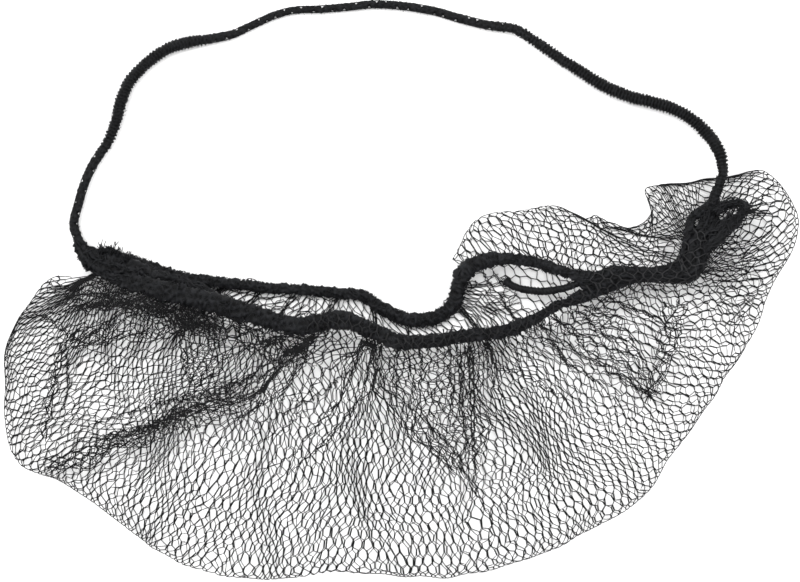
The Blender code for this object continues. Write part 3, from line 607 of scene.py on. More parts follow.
# how far a gather draws the net in, from how far off, how strongly at its two ends, and where it runs
Gather = namedtuple("Gather", "depth reach start end places")
FRONT_GATHERS = (
    Gather(0.0030, 0.0120, 0.60, 0.60, ((3.0, 64.4), (5.4, 64.6), (7.3, 62.4), (9.3, 60.2), (12.1, 60.2))),
    Gather(0.0018, 0.0120, 0.50, 0.40, ((7.6, 58.3), (7.1, 52.7), (6.4, 46.6), (5.9, 40.5), (5.1, 34.9))),
    Gather(0.0040, 0.0260, 0.25, 0.60, ((7.6, 29.0), (12.3, 31.5), (16.1, 34.9), (19.3, 37.6), (22.4, 40.2),
           (25.5, 42.7), (29.3, 44.6), (32.7, 47.1))),
    Gather(0.0022, 0.0140, 0.70, 0.60, ((32.7, 47.1), (34.7, 52.0), (36.7, 56.3), (37.7, 59.3))),
    Gather(0.0022, 0.0090, 0.50, 0.80, ((8.4, 56.1), (12.3, 57.6), (18.1, 59.5), (22.5, 61.5))),
    Gather(0.0022, 0.0090, 0.50, 0.80, ((9.1, 58.5), (12.7, 61.2), (17.7, 63.7), (21.4, 64.1))),
    Gather(0.0032, 0.0090, 0.50, 0.80, ((9.2, 65.6), (13.6, 66.1), (18.6, 65.1), (22.4, 64.1))),
    Gather(0.0032, 0.0090, 0.50, 0.80, ((8.6, 69.3), (11.7, 69.8), (16.1, 68.5), (20.5, 67.1))),
    Gather(0.0030, 0.0090, 0.80, 0.80, ((22.9, 64.1), (24.9, 66.3), (27.7, 65.6), (28.5, 62.2), (26.4, 59.8),
           (23.9, 60.7))),
    Gather(0.0024, 0.0080, 0.80, 0.80, ((23.6, 63.2), (25.7, 62.2), (27.9, 63.7))),
    Gather(0.0026, 0.0100, 0.80, 0.40, ((22.5, 60.2), (22.9, 55.9), (23.4, 49.0))),
    Gather(0.0040, 0.0120, 0.80, 0.60, ((29.9, 63.2), (32.2, 59.8), (35.0, 57.3), (37.5, 55.9))),
    Gather(0.0026, 0.0120, 0.90, 0.50, ((38.5, 60.2), (38.0, 55.9), (35.8, 48.0), (33.7, 44.6),
           (29.9, 39.8))),
    Gather(0.0018, 0.0090, 0.90, 0.30, ((44.1, 57.6), (40.9, 51.0), (38.0, 43.4), (35.0, 36.8),
           (29.9, 31.5))),
    Gather(0.0018, 0.0090, 0.70, 0.30, ((42.4, 45.1), (38.7, 36.6), (35.8, 30.7), (31.2, 26.6))),
    Gather(0.0020, 0.0090, 0.90, 0.30, ((46.5, 47.6), (43.0, 39.3), (40.2, 33.2), (37.0, 28.0),
           (33.2, 23.7))),
    Gather(0.0036, 0.0130, 1.00, 0.40, ((46.3, 57.8), (46.8, 53.9), (46.9, 50.5), (46.6, 47.1))),
    Gather(0.0013, 0.0110, 0.60, 0.50, ((47.0, 46.6), (50.2, 39.3), (52.5, 34.9), (55.3, 30.7), (57.4, 26.6),
           (59.2, 22.9), (60.3, 18.8))),
    Gather(0.0022, 0.0140, 1.00, 0.50, ((58.6, 56.3), (59.0, 49.0), (59.1, 41.7), (59.3, 33.2),
           (59.5, 22.7))),
    Gather(0.0022, 0.0070, 0.90, 0.50, ((61.1, 57.1), (62.0, 54.4), (62.1, 52.4), (65.1, 50.7), (68.2, 47.6),
           (70.8, 44.6))),
    Gather(0.0012, 0.0050, 0.70, 0.50, ((53.8, 35.9), (55.3, 39.3), (56.8, 42.2))),
    Gather(0.0012, 0.0060, 0.50, 0.50, ((37.0, 21.7), (40.2, 23.2), (44.9, 24.1))),
    Gather(0.0020, 0.0080, 0.90, 0.40, ((68.2, 63.2), (71.4, 61.2), (74.2, 55.4), (78.3, 49.5),
           (81.7, 45.1))),
    Gather(0.0020, 0.0080, 0.90, 0.40, ((66.4, 59.8), (69.6, 56.3), (73.3, 51.0), (76.7, 44.6),
           (78.9, 39.3))),
    Gather(0.0012, 0.0100, 0.80, 0.40, ((85.0, 69.5), (84.1, 62.7), (83.4, 57.8), (82.4, 49.0),
           (80.9, 42.7))),
    Gather(0.0020, 0.0080, 0.80, 0.50, ((92.2, 82.4), (93.5, 78.3), (93.2, 73.4))),
    Gather(0.0020, 0.0100, 0.70, 0.30, ((75.2, 68.5), (80.2, 65.6), (84.2, 61.2), (86.5, 53.9))),
    Gather(0.0016, 0.0090, 0.60, 0.30, ((59.2, 22.7), (58.3, 16.8), (57.8, 11.0))),
    Gather(0.0016, 0.0090, 0.60, 0.30, ((59.5, 22.7), (60.8, 17.8), (61.8, 12.4))),
)
BACK_GATHERS = (
    Gather(0.0016, 0.0120, 0.50, 0.40, ((6.8, 58.8), (8.1, 53.4), (8.1, 46.6), (7.3, 41.2))),
    Gather(0.0034, 0.0220, 0.30, 0.60, ((9.2, 33.4), (16.1, 35.4), (22.4, 39.8), (28.4, 44.6))),
    Gather(0.0026, 0.0140, 0.60, 0.60, ((11.7, 38.3), (19.9, 43.2), (27.4, 46.6), (34.3, 51.5))),
    Gather(0.0032, 0.0100, 0.70, 0.70, ((9.8, 67.1), (14.9, 67.6), (19.9, 65.6))),
    Gather(0.0032, 0.0100, 0.70, 0.70, ((21.9, 60.2), (24.9, 61.7), (29.9, 60.2))),
    Gather(0.0030, 0.0120, 0.70, 0.40, ((44.4, 52.4), (38.7, 44.1), (32.4, 38.3))),
    Gather(0.0014, 0.0120, 0.80, 0.50, ((48.0, 46.6), (52.5, 40.2), (57.2, 30.0), (59.1, 22.2))),
    Gather(0.0018, 0.0120, 0.80, 0.60, ((57.6, 54.9), (57.9, 43.2), (58.6, 33.4))),
    Gather(0.0026, 0.0120, 0.70, 0.50, ((67.9, 61.7), (72.6, 55.4), (78.4, 49.0))),
    Gather(0.0012, 0.0100, 0.70, 0.50, ((83.7, 63.7), (82.2, 53.9), (81.2, 45.6))),
    Gather(0.0024, 0.0120, 0.50, 0.40, ((4.1, 27.1), (7.9, 22.7), (13.0, 17.3))),
    Gather(0.0020, 0.0090, 0.90, 0.90, ((27.7, 72.0), (26.7, 69.0), (25.4, 65.6))),
    Gather(0.0018, 0.0080, 0.90, 0.90, ((32.7, 71.5), (31.2, 68.0), (29.4, 64.1))),
    Gather(0.0018, 0.0080, 0.90, 0.90, ((37.5, 70.5), (36.0, 67.6), (34.5, 63.7))),
    Gather(0.0018, 0.0080, 0.90, 0.90, ((42.5, 69.5), (41.2, 66.6), (40.0, 63.2))),
    Gather(0.0018, 0.0080, 0.90, 0.90, ((46.5, 68.5), (46.8, 64.6), (47.0, 60.7))),
    Gather(0.0016, 0.0070, 0.90, 0.90, ((51.3, 64.1), (51.0, 60.7), (50.8, 57.3))),
    Gather(0.0018, 0.0080, 0.90, 0.90, ((56.9, 68.5), (58.3, 65.1), (59.8, 61.2))),
    Gather(0.0018, 0.0080, 0.90, 0.90, ((60.1, 75.9), (62.1, 71.0), (64.4, 64.1))),
)


def waves(points, length, seed):
    """Two smooth random fields over the plan, each about from -1 to 1, with waves of the given length."""
    draw = np.random.default_rng(seed)
    field = np.zeros(points.shape[:-1] + (2,))
    for _ in range(14):
        heading = draw.uniform(0, math.tau)
        pitch = math.tau / (length * draw.uniform(0.75, 1.4))
        phase = draw.uniform(0, math.tau, 2)
        along = (points[..., 0] * math.cos(heading) + points[..., 1] * math.sin(heading)) * pitch
        field += np.sin(along[..., None] + phase)
    return field / 4.0


def lattice(columns, rows, seed, looseness):
    """The threads of a honeycomb, as threads, places and two coordinates in units of columns and rows. With
    them comes the way that each place is pushed sideways where two threads lie together."""
    draw = np.random.default_rng(seed)
    jitter = draw.normal(0.0, 1.0, (2 * columns + 4, 2 * rows + 4, 2)) * looseness
    threads, pushes = [], []
    for column in range(columns):
        for side in (-1, 1):
            places, push = [], []
            for row in range(rows):
                half = 2 * column + (1 if row % 2 else 0) * side + 1
                across = column + 0.5 + 0.5 * (row % 2) * side
                lean = side if row % 2 == 0 else -side
                for k, down in ((0, 0.5 - WALL_SHARE), (1, 0.5 + WALL_SHARE)):
                    shift = jitter[half, 2 * row + k]
                    places.append((across + shift[0], row + down + shift[1]))
                    push.append(lean)
                if row < rows - 1:
                    following = 2 * column + (1 if (row + 1) % 2 else 0) * side + 1
                    shift = (jitter[half, 2 * row + 1] + jitter[following, 2 * row + 2]) / 2
                    places.append((column + 0.5 + 0.25 * side + shift[0], row + 1 + shift[1]))
                    push.append(0)
            threads.append(places)
            pushes.append(push)
    threads = np.array(threads)
    return threads + waves(threads, 5.0, seed + 1) * 0.15, np.array(pushes, float)


def finer(threads, push, start, end):
    """The threads with three times as many places from one index to another, where they go round a fold."""
    count = threads.shape[1]
    where = np.concatenate([np.arange(0, start), np.arange(start, end, 1 / 3), np.arange(end, count)])
    low = np.minimum(where.astype(int), count - 2)
    share = (where - low)[None, :, None]
    placed = threads[:, low] * (1 - share) + threads[:, low + 1] * share
    return placed, push[:, low] * (1 - share[..., 0]) + push[:, low + 1] * share[..., 0], where


def draw_in(points, gathers, held, seed):
    """The places drawn over the middle lines of the gathers, so that the net there lies in folds. held is how
    far each place gives way."""
    draw = np.random.default_rng(seed)
    for gather in gathers:
        line = smooth(plan(gather.places), 4)
        way, where = nearest_on(points, line)
        off = np.linalg.norm(way, axis=-1)
        along = where / (len(line) - 1)
        ends = np.minimum(gather.start + (1 - gather.start) * grow(along / 0.4),
                          gather.end + (1 - gather.end) * grow((1 - along) / 0.4))
        depth = gather.depth * ends * (1 + 0.15 * draw.normal(0.0, 1.0, off.shape))
        pull = np.sin(math.pi / 2 * np.clip(off / (0.7 * np.maximum(depth, 1e-6)), 0.0, 1.0))
        pull = pull * depth * held * np.clip(1 - off / gather.reach, 0.0, 1.0)
        points = points + way * (pull / np.maximum(off, 1e-9))[..., None]
    return points


def drawn_to_rim(reach):
    """The rows next to the rim lie closer together, as the net is stretched along it."""
    return reach - RIM_CLOSING * (1 - np.exp(-reach / RIM_SPAN))


def bend_under(reach, length):
    """Round the fold of the rim: how far in from it a place lies, and how high over the fold's middle. At the
    far end of the length it is the whole length in."""
    turn = np.minimum(drawn_to_rim(reach) / RIM_RADIUS, math.pi / 2)
    spare = (math.pi / 2 - 1) * RIM_RADIUS
    inward = np.where(turn < math.pi / 2, RIM_RADIUS * (1 - np.cos(turn)), drawn_to_rim(reach) - spare)
    whole = np.maximum(drawn_to_rim(length) - spare, 1e-6)
    return inward * np.maximum(length, 1e-6) / whole, RIM_RADIUS * np.sin(turn)


def hung_share(down, rows, length):
    """How far down its length a place of a net hangs: the rows keep their pitch at the far end, and close up
    towards the near one where there is no room for all of them, the more the shorter the net is there."""
    spare = np.clip(rows * ROW_PITCH / np.maximum(length, 1e-6), 1.0, 16.0) - 1
    closing = np.clip(down / rows, 0.0, None) ** (1 + spare * np.clip(spare / 2, 0.3, 1.0))
    climbed, whole = (1 + spare) * np.clip(1 - down / rows, 0.0, None), 1 + spare
    packed = 1 - climbed / (1 + climbed ** 3) ** (1 / 3) * (1 + whole ** 3) ** (1 / 3) / whole
    return closing + (packed - closing) * grow((spare - 0.7) / 1.0)


def net_mesh(name, flat, height, push, across, material):
    """The threads' mesh from their places in the plan, their heights, and the way to the next column."""
    paths = np.concatenate([flat, height[..., None]], axis=-1)
    across = unit(np.concatenate([across, np.zeros(across.shape[:-1] + (1,))], axis=-1))
    paths = paths + across * (push * PAIR_SPREAD)[..., None]
    radius = np.full(paths.shape[:2] + (4,), THREAD_RADIUS)
    made = tubes(name, paths, 0.4 * across + np.array(UPRIGHT), radius)
    made.data.materials.append(material)
    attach(made, "root")
    return made


thread = yarn_material("black_thread", (0.0015, 0.0016, 0.0018), (0.0110, 0.0112, 0.0120), *THREAD_FINISH)
rim_run, lip_run = run_of(front_rim), run_of(front_lip)
rim_fan, fan, low_fan, slant = (np.array(shares) for shares in (RIM_FAN, FAN, LOW_FAN, MOUTH_SLANT))
low_top = smooth(plan(((12.9, 73.6), (13.4, 75.6), *LOW_LIP[2:])), FINE)
low_side = np.column_stack([low_top, np.gradient(low_top, axis=0)])


def rim_share(column):
    """How far along the front rim each column crosses it."""
    return np.interp(column / COLUMNS, rim_fan[:, 0], rim_fan[:, 1])


def top_places(column):
    """The front lip and the rim at each column of the front net."""
    share = rim_share(column)
    rim = along_line(front_rim, share * rim_run[-1])
    return along_line(front_lip, np.interp(share, fan[:, 0], fan[:, 1]) * lip_run[-1]), rim


def front_places(column, up):
    """The plan of places on the front net and how far they stand over the rim. up counts rows from it."""
    lip, rim = top_places(column)
    length = np.linalg.norm(lip - rim, axis=-1)
    inward, over = bend_under(length * (1 - hung_share(FRONT_ROWS - up, FRONT_ROWS, length)), length)
    return rim + (lip - rim) * (inward / np.maximum(length, 1e-6))[..., None], over


def low_places(column, up):
    """The plan of places on the back net that hang from the low lip. up counts rows from the rim."""
    rim = top_places(column)[1]
    share = np.interp(rim_share(column), low_fan[:, 0], low_fan[:, 1])
    end = along_line(low_side, share * run_of(low_side)[-1])
    length = np.linalg.norm(end[..., :2] - rim, axis=-1)
    reach = length * (1 - hung_share(BACK_ROWS - up, BACK_ROWS, length))
    inward, over = bend_under(reach, length)
    below = length - reach
    lean = np.interp(share, slant[:, 0], slant[:, 1]) * SLANT_REACH
    lean = lean * np.where(below < SLANT_REACH, below / SLANT_REACH, np.exp((SLANT_REACH - below) / 0.03))
    lean = lean * grow(reach / 0.010)
    flat = rim + (end[..., :2] - rim) * (inward / np.maximum(length, 1e-6))[..., None]
    return flat + unit(end[..., 2:]) * lean[..., None], -over


def lobe_places(column, up):
    """The plan of places on the net that runs on under the lobes, turns round their rim and comes back over
    them to the back edging, and how far they stand over the middle of the fold."""
    rim = top_places(column)[1]
    share = np.clip((column - LOW_COLUMNS) / (COLUMNS - LOW_COLUMNS), 0.0, 1.0)
    lobe_run = run_of(lobe_rim)
    index = np.interp(share * lobe_run[-1], lobe_run, np.arange(len(lobe_rim)))[..., None]
    low = np.minimum(index.astype(int), len(lobe_rim) - 2)
    far, lip = (line[low[..., 0]] * (1 - index + low) + line[low[..., 0] + 1] * (index - low)
                for line in (lobe_rim, lobe_lip))
    under, over = np.linalg.norm(far - rim, axis=-1), np.linalg.norm(lip - far, axis=-1)
    rows = BACK_ROWS + LOBE_ROWS
    travel = (under + over) * (1 - hung_share(rows - up, rows, under + over))
    near, near_height = bend_under(np.minimum(travel, under), under)
    back, back_height = bend_under(np.abs(travel - under), np.where(travel > under, over, under))
    swap = grow((travel / under - 0.3) / 0.4)
    inward = near * (1 - swap) + (under - back) * swap
    below = rim + (far - rim) * (inward / np.maximum(under, 1e-6))[..., None]
    above = far + (lip - far) * (np.minimum(back, over) / np.maximum(over, 1e-6))[..., None]
    turned = (travel > under)[..., None]
    return (np.where(turned, above, below),
            np.where(turned[..., 0], back_height, -(near_height * (1 - swap) + back_height * swap)))


def net_height(flat, over):
    """Height of the threads: over the fold's middle on the front net, under it on the back net."""
    rise = front_height(flat) - LOW_THREADS - 2 * RIM_RADIUS
    ripple = RIPPLE * waves(flat, RIPPLE_LENGTH, 15)[..., 0]
    level = LOW_THREADS + RIM_RADIUS + over
    upper = grow(over / RIM_RADIUS)
    return np.where(over > 0, level + rise * upper + ripple * (1 + upper), np.maximum(level + ripple, 0.0002))


def pleats(seed):
    """Short gathers down from the front edging, where the slack of the net is taken up between stitches."""
    draw = np.random.default_rng(seed)
    made = []
    for k in range(PLEATS):
        column = np.full(3, COLUMNS * (0.05 + 0.88 * (k + draw.uniform(0.1, 0.9)) / PLEATS))
        top = FRONT_ROWS * (1 - np.array([0.0, 0.5, 1.0]) * draw.uniform(0.12, 0.40))
        line = front_places(column, top)[0]
        shares = [(100 * (x / NET_WIDTH + 0.5), 100 * (y / NET_DEPTH + 0.5)) for x, y in line]
        made.append(Gather(draw.uniform(0.0010, 0.0024), draw.uniform(0.005, 0.008), 1.0, 0.2, shares))
    return made


places, push = lattice(COLUMNS, FRONT_ROWS + BACK_ROWS + LOBE_ROWS, 11, 0.09)
turned = 3 * FRONT_ROWS
places, push, where = finer(places, push, turned - 5, turned + 4)
split = int(np.argmin(np.abs(where - turned)))
low_end = int(np.argmin(np.abs(where - 3 * (FRONT_ROWS + BACK_ROWS))))
first = 2 * LOW_COLUMNS
column, up = places[..., 0], FRONT_ROWS - places[..., 1]
up = up + 0.3 * waves(np.stack([column, 0 * column], axis=-1), 9.0, 77)[..., 0] * np.exp(-(up / 3.0) ** 2)


def folded(below):
    """Places on the front net over the rim and on the net below it elsewhere, so that a thread goes round."""
    def make(column, up):
        top, over = front_places(column, np.maximum(up, 0.0))
        low, under = below(column, np.maximum(-up, 0.0))
        return np.where((up > 0)[..., None], top, low), np.where(up > 0, over, under)
    return make


def laid(make, column, up, gathers, seed):
    """Places in the plan of a net with its drift and gathers, their height over the fold, and the way across.
    Near the rim the drift is the same in all the nets, so that they meet there."""
    flat, over = make(column, up)
    beside = make(column + 0.02, up)[0] - flat
    near_rim = np.exp(-(line_reach(flat, whole_rim[::3]) / RIM_HOLD) ** 2)[..., None]
    shared = waves(flat, BROAD_DRIFT, 3) * 0.0008 + waves(flat, SHORT_DRIFT, 4) * 0.0003
    own = waves(flat, BROAD_DRIFT, seed) * 0.0013 + waves(flat, SHORT_DRIFT, seed + 1) * 0.0003
    flat = flat + shared * near_rim + own * (1 - near_rim)
    held = grow(line_reach(flat, whole_rim[::3]) / 0.008)
    return draw_in(flat, gathers, held, seed + 2), over, beside


top_gathers = (*FRONT_GATHERS, *pleats(19))
front_flat, front_over, front_beside = (np.concatenate(parts) for parts in zip(*(
    laid(folded(below), column[part, :split + 1], up[part, :split + 1], top_gathers, 21)
    for below, part in ((low_places, slice(0, first)), (lobe_places, slice(first, None))))))
front_net = net_mesh("front_threads", front_flat, net_height(front_flat, front_over), push[:, :split + 1],
                     front_beside, thread)
low_flat, low_over, low_beside = laid(
    folded(low_places), column[:first, split:low_end], up[:first, split:low_end], BACK_GATHERS, 25)
back_net = net_mesh("back_threads", low_flat, net_height(low_flat, low_over), push[:first, split:low_end],
                    low_beside, thread)
lobe_flat, lobe_over, lobe_beside = laid(
    folded(lobe_places), column[first:, split:], up[first:, split:], BACK_GATHERS, 25)
net_mesh("lobe_threads", lobe_flat, net_height(lobe_flat, lobe_over), push[first:, split:],
         lobe_beside, thread)
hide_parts("front_net")
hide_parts("back_net")

# Where the net is pushed together it lies over on itself in larger folds: two more layers between two edges,
# with the threads crowded together along both of them.
LaidFold = namedtuple("LaidFold", "columns rows lift edge other on_front")
LAID_FOLDS = (
    # over the middle
    LaidFold(11, 12, 0.0006,
             ((46.8, 57.6), (47.3, 48.0), (50.0, 39.3), (53.2, 32.9), (56.0, 27.6), (57.4, 24.6)),
             ((60.4, 57.1), (60.4, 49.0), (60.4, 39.3), (60.6, 30.7), (60.9, 25.4)), True),
    # long and low at the left
    LaidFold(5, 28, 0.0005,
             ((4.8, 30.8), (9.2, 31.5), (12.7, 35.1), (18.1, 39.8), (22.5, 42.9), (24.9, 46.6), (29.3, 49.5),
              (33.4, 52.9)),
             ((5.6, 26.8), (11.0, 28.0), (15.4, 32.2), (19.3, 34.4), (22.5, 36.1), (27.7, 38.3), (32.7, 43.2),
              (36.2, 49.0)), True),
    # at the upper left, next to the knot
    LaidFold(7, 13, 0.0005,
             ((7.3, 71.5), (10.5, 72.4), (14.2, 72.0), (18.6, 70.7), (23.0, 68.5), (28.0, 66.1)),
             ((8.1, 65.4), (11.7, 65.6), (15.5, 65.1), (19.3, 64.1), (23.0, 62.0), (28.4, 59.3)), True),
    # below that
    LaidFold(6, 14, 0.0008, ((9.1, 59.8), (13.0, 64.1), (17.4, 66.6), (21.8, 67.6), (26.4, 65.6)),
             ((8.4, 55.6), (13.0, 57.8), (18.1, 59.3), (22.5, 59.3), (26.9, 58.8)), True),
    # clump under the lip at the left
    LaidFold(11, 7, 0.0010, ((21.9, 67.6), (22.4, 65.1), (22.1, 61.7), (23.1, 58.3)),
             ((28.9, 65.6), (28.2, 63.2), (29.2, 60.2), (28.4, 57.3)), True),
    # pleat down the far left
    LaidFold(3, 9, 0.0004, ((6.8, 58.8), (6.3, 52.7), (5.7, 46.6), (5.3, 40.5), (4.8, 33.9)),
             ((8.6, 59.3), (7.8, 52.7), (7.1, 46.6), (6.3, 40.2), (5.3, 33.4)), True),
    # under the lip, right of the clump
    LaidFold(7, 9, 0.0006, ((28.9, 65.6), (32.7, 63.2), (36.2, 61.0), (39.5, 59.3)),
             ((28.4, 58.3), (31.9, 55.4), (35.5, 52.0), (38.5, 53.4), (40.5, 57.3)), True),
    # right of the middle
    LaidFold(7, 10, 0.0005, ((68.2, 63.7), (72.0, 58.8), (75.4, 52.9), (78.9, 47.6), (82.2, 43.7)),
             ((75.2, 69.0), (77.9, 62.7), (80.2, 56.3), (81.7, 49.0), (82.7, 43.2)), True),
    # pleat at the right
    LaidFold(4, 10, 0.0006, ((82.7, 68.5), (82.7, 61.2), (81.9, 53.9), (80.9, 47.6), (79.9, 42.8)),
             ((86.4, 69.5), (85.4, 62.4), (84.4, 56.3), (83.2, 49.0), (81.9, 43.3)), True),
    # far right
    LaidFold(3, 8, 0.0005, ((88.7, 80.7), (89.7, 73.4), (90.5, 66.1), (91.0, 57.6)),
             ((97.0, 87.6), (96.3, 78.3), (94.8, 68.5), (91.7, 56.8)), True),
    # below the clump
    LaidFold(7, 8, 0.0005, ((21.9, 60.2), (22.1, 56.3), (22.9, 52.0), (23.9, 47.1)),
             ((30.7, 57.8), (29.4, 54.4), (27.2, 50.5), (24.7, 46.1)), True),
    # on the back net in the mouth, on the left
    LaidFold(3, 14, 0.0000,
             ((18.6, 72.4), (24.9, 71.5), (32.4, 70.7), (38.7, 69.8), (43.8, 69.3), (46.5, 67.1)),
             ((19.6, 71.0), (25.5, 68.5), (31.2, 65.9), (37.5, 63.9), (43.1, 64.6), (47.3, 61.2)), False),
    # and on the right
    LaidFold(3, 6, 0.0000, ((58.1, 73.4), (59.3, 69.0), (61.1, 64.6), (62.8, 60.2)),
             ((61.6, 75.9), (63.9, 72.0), (66.1, 68.0), (68.6, 65.1)), False),
)


def laid_fold(fold, seed):
    """The threads of a fold that lies on the front or the back net, from one edge to the other and back."""
    places, push = lattice(fold.columns, fold.rows, seed, 0.11)
    across = np.clip(places[..., 0] / fold.columns, 0.0, 1.0)
    short = 1 - 0.22 * np.abs(np.random.default_rng(seed).normal(0.0, 0.6, (len(places), 1)))
    down = np.clip(places[..., 1] / fold.rows * np.clip(short, 0.6, 1.0), 0.0, 1.0)
    sway = 0.08 * waves(np.stack([across, 2 * down], axis=-1), 0.7, seed)[..., 0]
    turned = 0.35 * (0.5 - 0.5 * np.cos(math.tau * across)) + 0.65 * (1 - np.abs(1 - 2 * across))
    turned = (turned + sway * np.sin(math.pi * down))[..., None]
    edge, other = (smooth(plan(line), 8) for line in (fold.edge, fold.other))
    near, far = (along_line(line, down * run_of(line)[-1]) for line in (edge, other))
    flat = near * (1 - turned) + far * turned
    flat = flat + waves(flat, SHORT_DRIFT, 4) * 0.0006 + waves(flat, 0.005, seed + 1) * 0.0003
    lifted = np.where(across < 0.5, 0.4, 1.0) * fold.lift
    base = front_height(flat) if fold.on_front else np.full(flat.shape[:-1], 2 * LOW_THREADS)
    return flat, base + lifted + 2 * RIPPLE * waves(flat, RIPPLE_LENGTH, 15)[..., 0], push


for number, fold in enumerate(LAID_FOLDS):
    flat, height, push = laid_fold(fold, 200 + 3 * number)
    beside = np.broadcast_to(np.array([1.0, 0.2]), flat.shape)
    net_mesh(f"laid_fold_{number + 1}_threads", flat, height, push, beside, thread)

# The left knot: the ends of the neck loop, of both edgings and of the net, pulled together and tied off, with
# the cut ends of the yarns standing up in small tufts.
BUNDLE_SIDES = 36
BUNDLE_PITCH = 0.0003
# x and y as before, the half width and, at the left, the height of the middle, both in mm
LEFT_MASS = (
    (9.4, 82.7, 1.6, 2.4), (10.6, 79.8, 3.4, 3.5), (12.4, 77.5, 4.3, 4.0), (15.1, 76.1, 4.5, 4.6),
    (17.4, 74.6, 4.2, 5.2), (19.6, 73.2, 3.9, 5.8), (22.1, 72.0, 3.4, 6.4), (24.7, 71.0, 2.3, 7.0),
    (26.8, 70.0, 1.2, 7.4),
)
RIGHT_MASS = (
    (72.0, 73.7, 0.8), (73.3, 72.6, 2.2), (75.2, 73.2, 3.3), (77.0, 74.3, 3.4), (78.9, 74.7, 2.9),
    (80.8, 74.8, 2.2), (82.7, 74.5, 2.2), (84.6, 74.9, 2.8), (86.6, 76.0, 3.7), (87.1, 79.0, 3.7),
    (87.3, 82.0, 3.3), (87.9, 85.1, 2.9), (88.7, 88.3, 2.3), (89.3, 91.0, 2.0), (89.6, 93.4, 1.8),
    (89.9, 96.1, 1.6),
)


def bunched(name, line, folds, depth, seed, squash):
    """A bundle of yarns drawn together: a tube with lengthwise folds that wander round it. The line's fourth
    column is the bundle's half width."""
    draw = np.random.default_rng(seed)
    turn = np.arange(BUNDLE_SIDES)[None, :] * math.tau / BUNDLE_SIDES
    sway = drift(len(line), 14, draw)[:, None] * 1.2
    ridges = 0.5 + 0.32 * np.cos(folds * turn + 3 * sway) + 0.18 * np.cos((2 * folds + 1) * turn - 4 * sway)
    grain = draw.normal(0.0, 1.0, (len(line), BUNDLE_SIDES))
    relief = ridges + 0.10 * (grain + np.roll(grain, 1, 0)) / 1.4
    relief = np.clip(relief + 0.45 * lumps(len(line), BUNDLE_SIDES, draw), -0.4, 1.6)
    radius = line[:, 3:4] * (1 - (1 - squash) * np.sin(turn) ** 2) - depth * (1 - relief)
    radius = np.maximum(radius, 0.0003)
    return elastic_tube(name, line, radius, relief)


def tuft(roots, heading, count, size, spread, seed):
    """Paths of cut yarn ends that stand out of the roots, which spread over a small patch."""
    draw = np.random.default_rng(seed)
    paths = []
    for root, out in zip(roots, heading):
        for _ in range(count):
            lean = unit(np.array(out) + draw.normal(0.0, 0.30, 3))
            steps = np.linspace(0.0, 1.0, 5)[:, None]
            curl = draw.normal(0.0, 0.5, 3)
            start = np.array(root) + draw.normal(0.0, spread, 3)
            reach = size * draw.uniform(0.4, 1.0)
            paths.append(start + lean * reach * steps + curl * reach * 0.5 * steps ** 2)
    return np.array(paths)


left_line = traced([(x, y, height / 1000, half / 1000) for x, y, half, height in LEFT_MASS], 24)
left_line = evenly(left_line, BUNDLE_PITCH)
left_mass = bunched("left_knot_bundle", left_line, 7, 0.0012, 71, 0.72)
left_yarns = loose_yarns("left_knot_yarns", left_line[14:], 34, 0.95, 0.00018, 72)
roots = [(*plan(p), z) for p, z in (
    ((12.5, 80.3), 0.0050), ((13.5, 80.2), 0.0052), ((14.4, 79.6), 0.0054), ((15.8, 78.4), 0.0056))]
headings = [(0.0, 1.0, 0.5), (0.1, 1.0, 0.5), (0.3, 1.0, 0.5), (0.4, 1.0, 0.6)]
short_ends = tuft(roots, headings, 60, 0.0021, 0.0006, 73)
wild_ends = tuft([(*plan((14.2, 80.8)), 0.0056)], [(0.15, 1.0, 0.3)], 4, 0.0036, 0.0005, 74)
left_tufts = strands("left_knot_tufts", np.concatenate([short_ends, wild_ends]), (0.9, 0.1, 0.3), 0.00014)
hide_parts("left_knot")

# The right knot: the neck loop, the edgings and the net run together into one bundle there, whose end is
# doubled back in a small bow, with a few loose threads.
right_line = traced([(x, y, half / 1000) for x, y, half in RIGHT_MASS], 24)
right_line = np.column_stack([right_line[:, :2], front_height(right_line[:, :2]), right_line[:, 2]])
right_line = evenly(right_line, BUNDLE_PITCH)
right_mass = bunched("right_knot_bundle", right_line, 6, 0.0011, 81, 0.8)
right_yarns = loose_yarns("right_knot_yarns", right_line, 22, 1.0, 0.00018, 82)
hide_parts("right_knot")

BOW_DIAMETER = 0.0028
BOW_LIFT = 0.0022
BOW_ROUTE = (
    (89.5, 89.6, 0.90), (90.5, 91.2, 1.00), (91.7, 92.0, 1.10), (92.8, 91.7, 1.15), (93.1, 90.5, 1.10),
    (92.5, 88.8, 1.25), (91.6, 86.9, 1.40), (90.5, 84.8, 1.40), (89.2, 82.4, 1.30), (88.0, 80.7, 1.00),
)
bow_line = traced(BOW_ROUTE, 12)
bow_height = front_height(bow_line[:, :2]) + BOW_LIFT
bow_line = evenly(np.column_stack([bow_line[:, :2], bow_height, bow_line[:, 2]]), KNIT_PITCH)
bow_bundle = np.column_stack([bow_line[:, :3], bow_line[:, 3] * BOW_DIAMETER / 2])
bow = bunched("right_bow_knit", bow_bundle, 5, 0.0006, 83, 0.75)
bow_yarns = loose_yarns("right_bow_yarns", bow_line, 10, 0.0022, 0.00016, 84)
bow_top = bow_line[len(bow_line) // 2, 2]
fill_line = traced([(*p, bow_top, 0.0024) for p in ((89.0, 83.4), (90.6, 86.6), (91.8, 88.2))], 12)
bow_fill = loose_yarns("right_bow_fill", fill_line, 22, 1.0, 0.00022, 86)
wisp_roots = [(*plan(p), bow_top) for p in ((92.9, 90.7), (92.6, 88.9))]
wisp_paths = tuft(wisp_roots, [(1.0, -0.10, -0.15), (1.0, 0.30, -0.15)], 14, 0.0095, 0.0010, 85)
wisps = strands("right_bow_wisps", wisp_paths, (0.1, 0.2, 1.0), 0.00015)
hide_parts("right_bow")
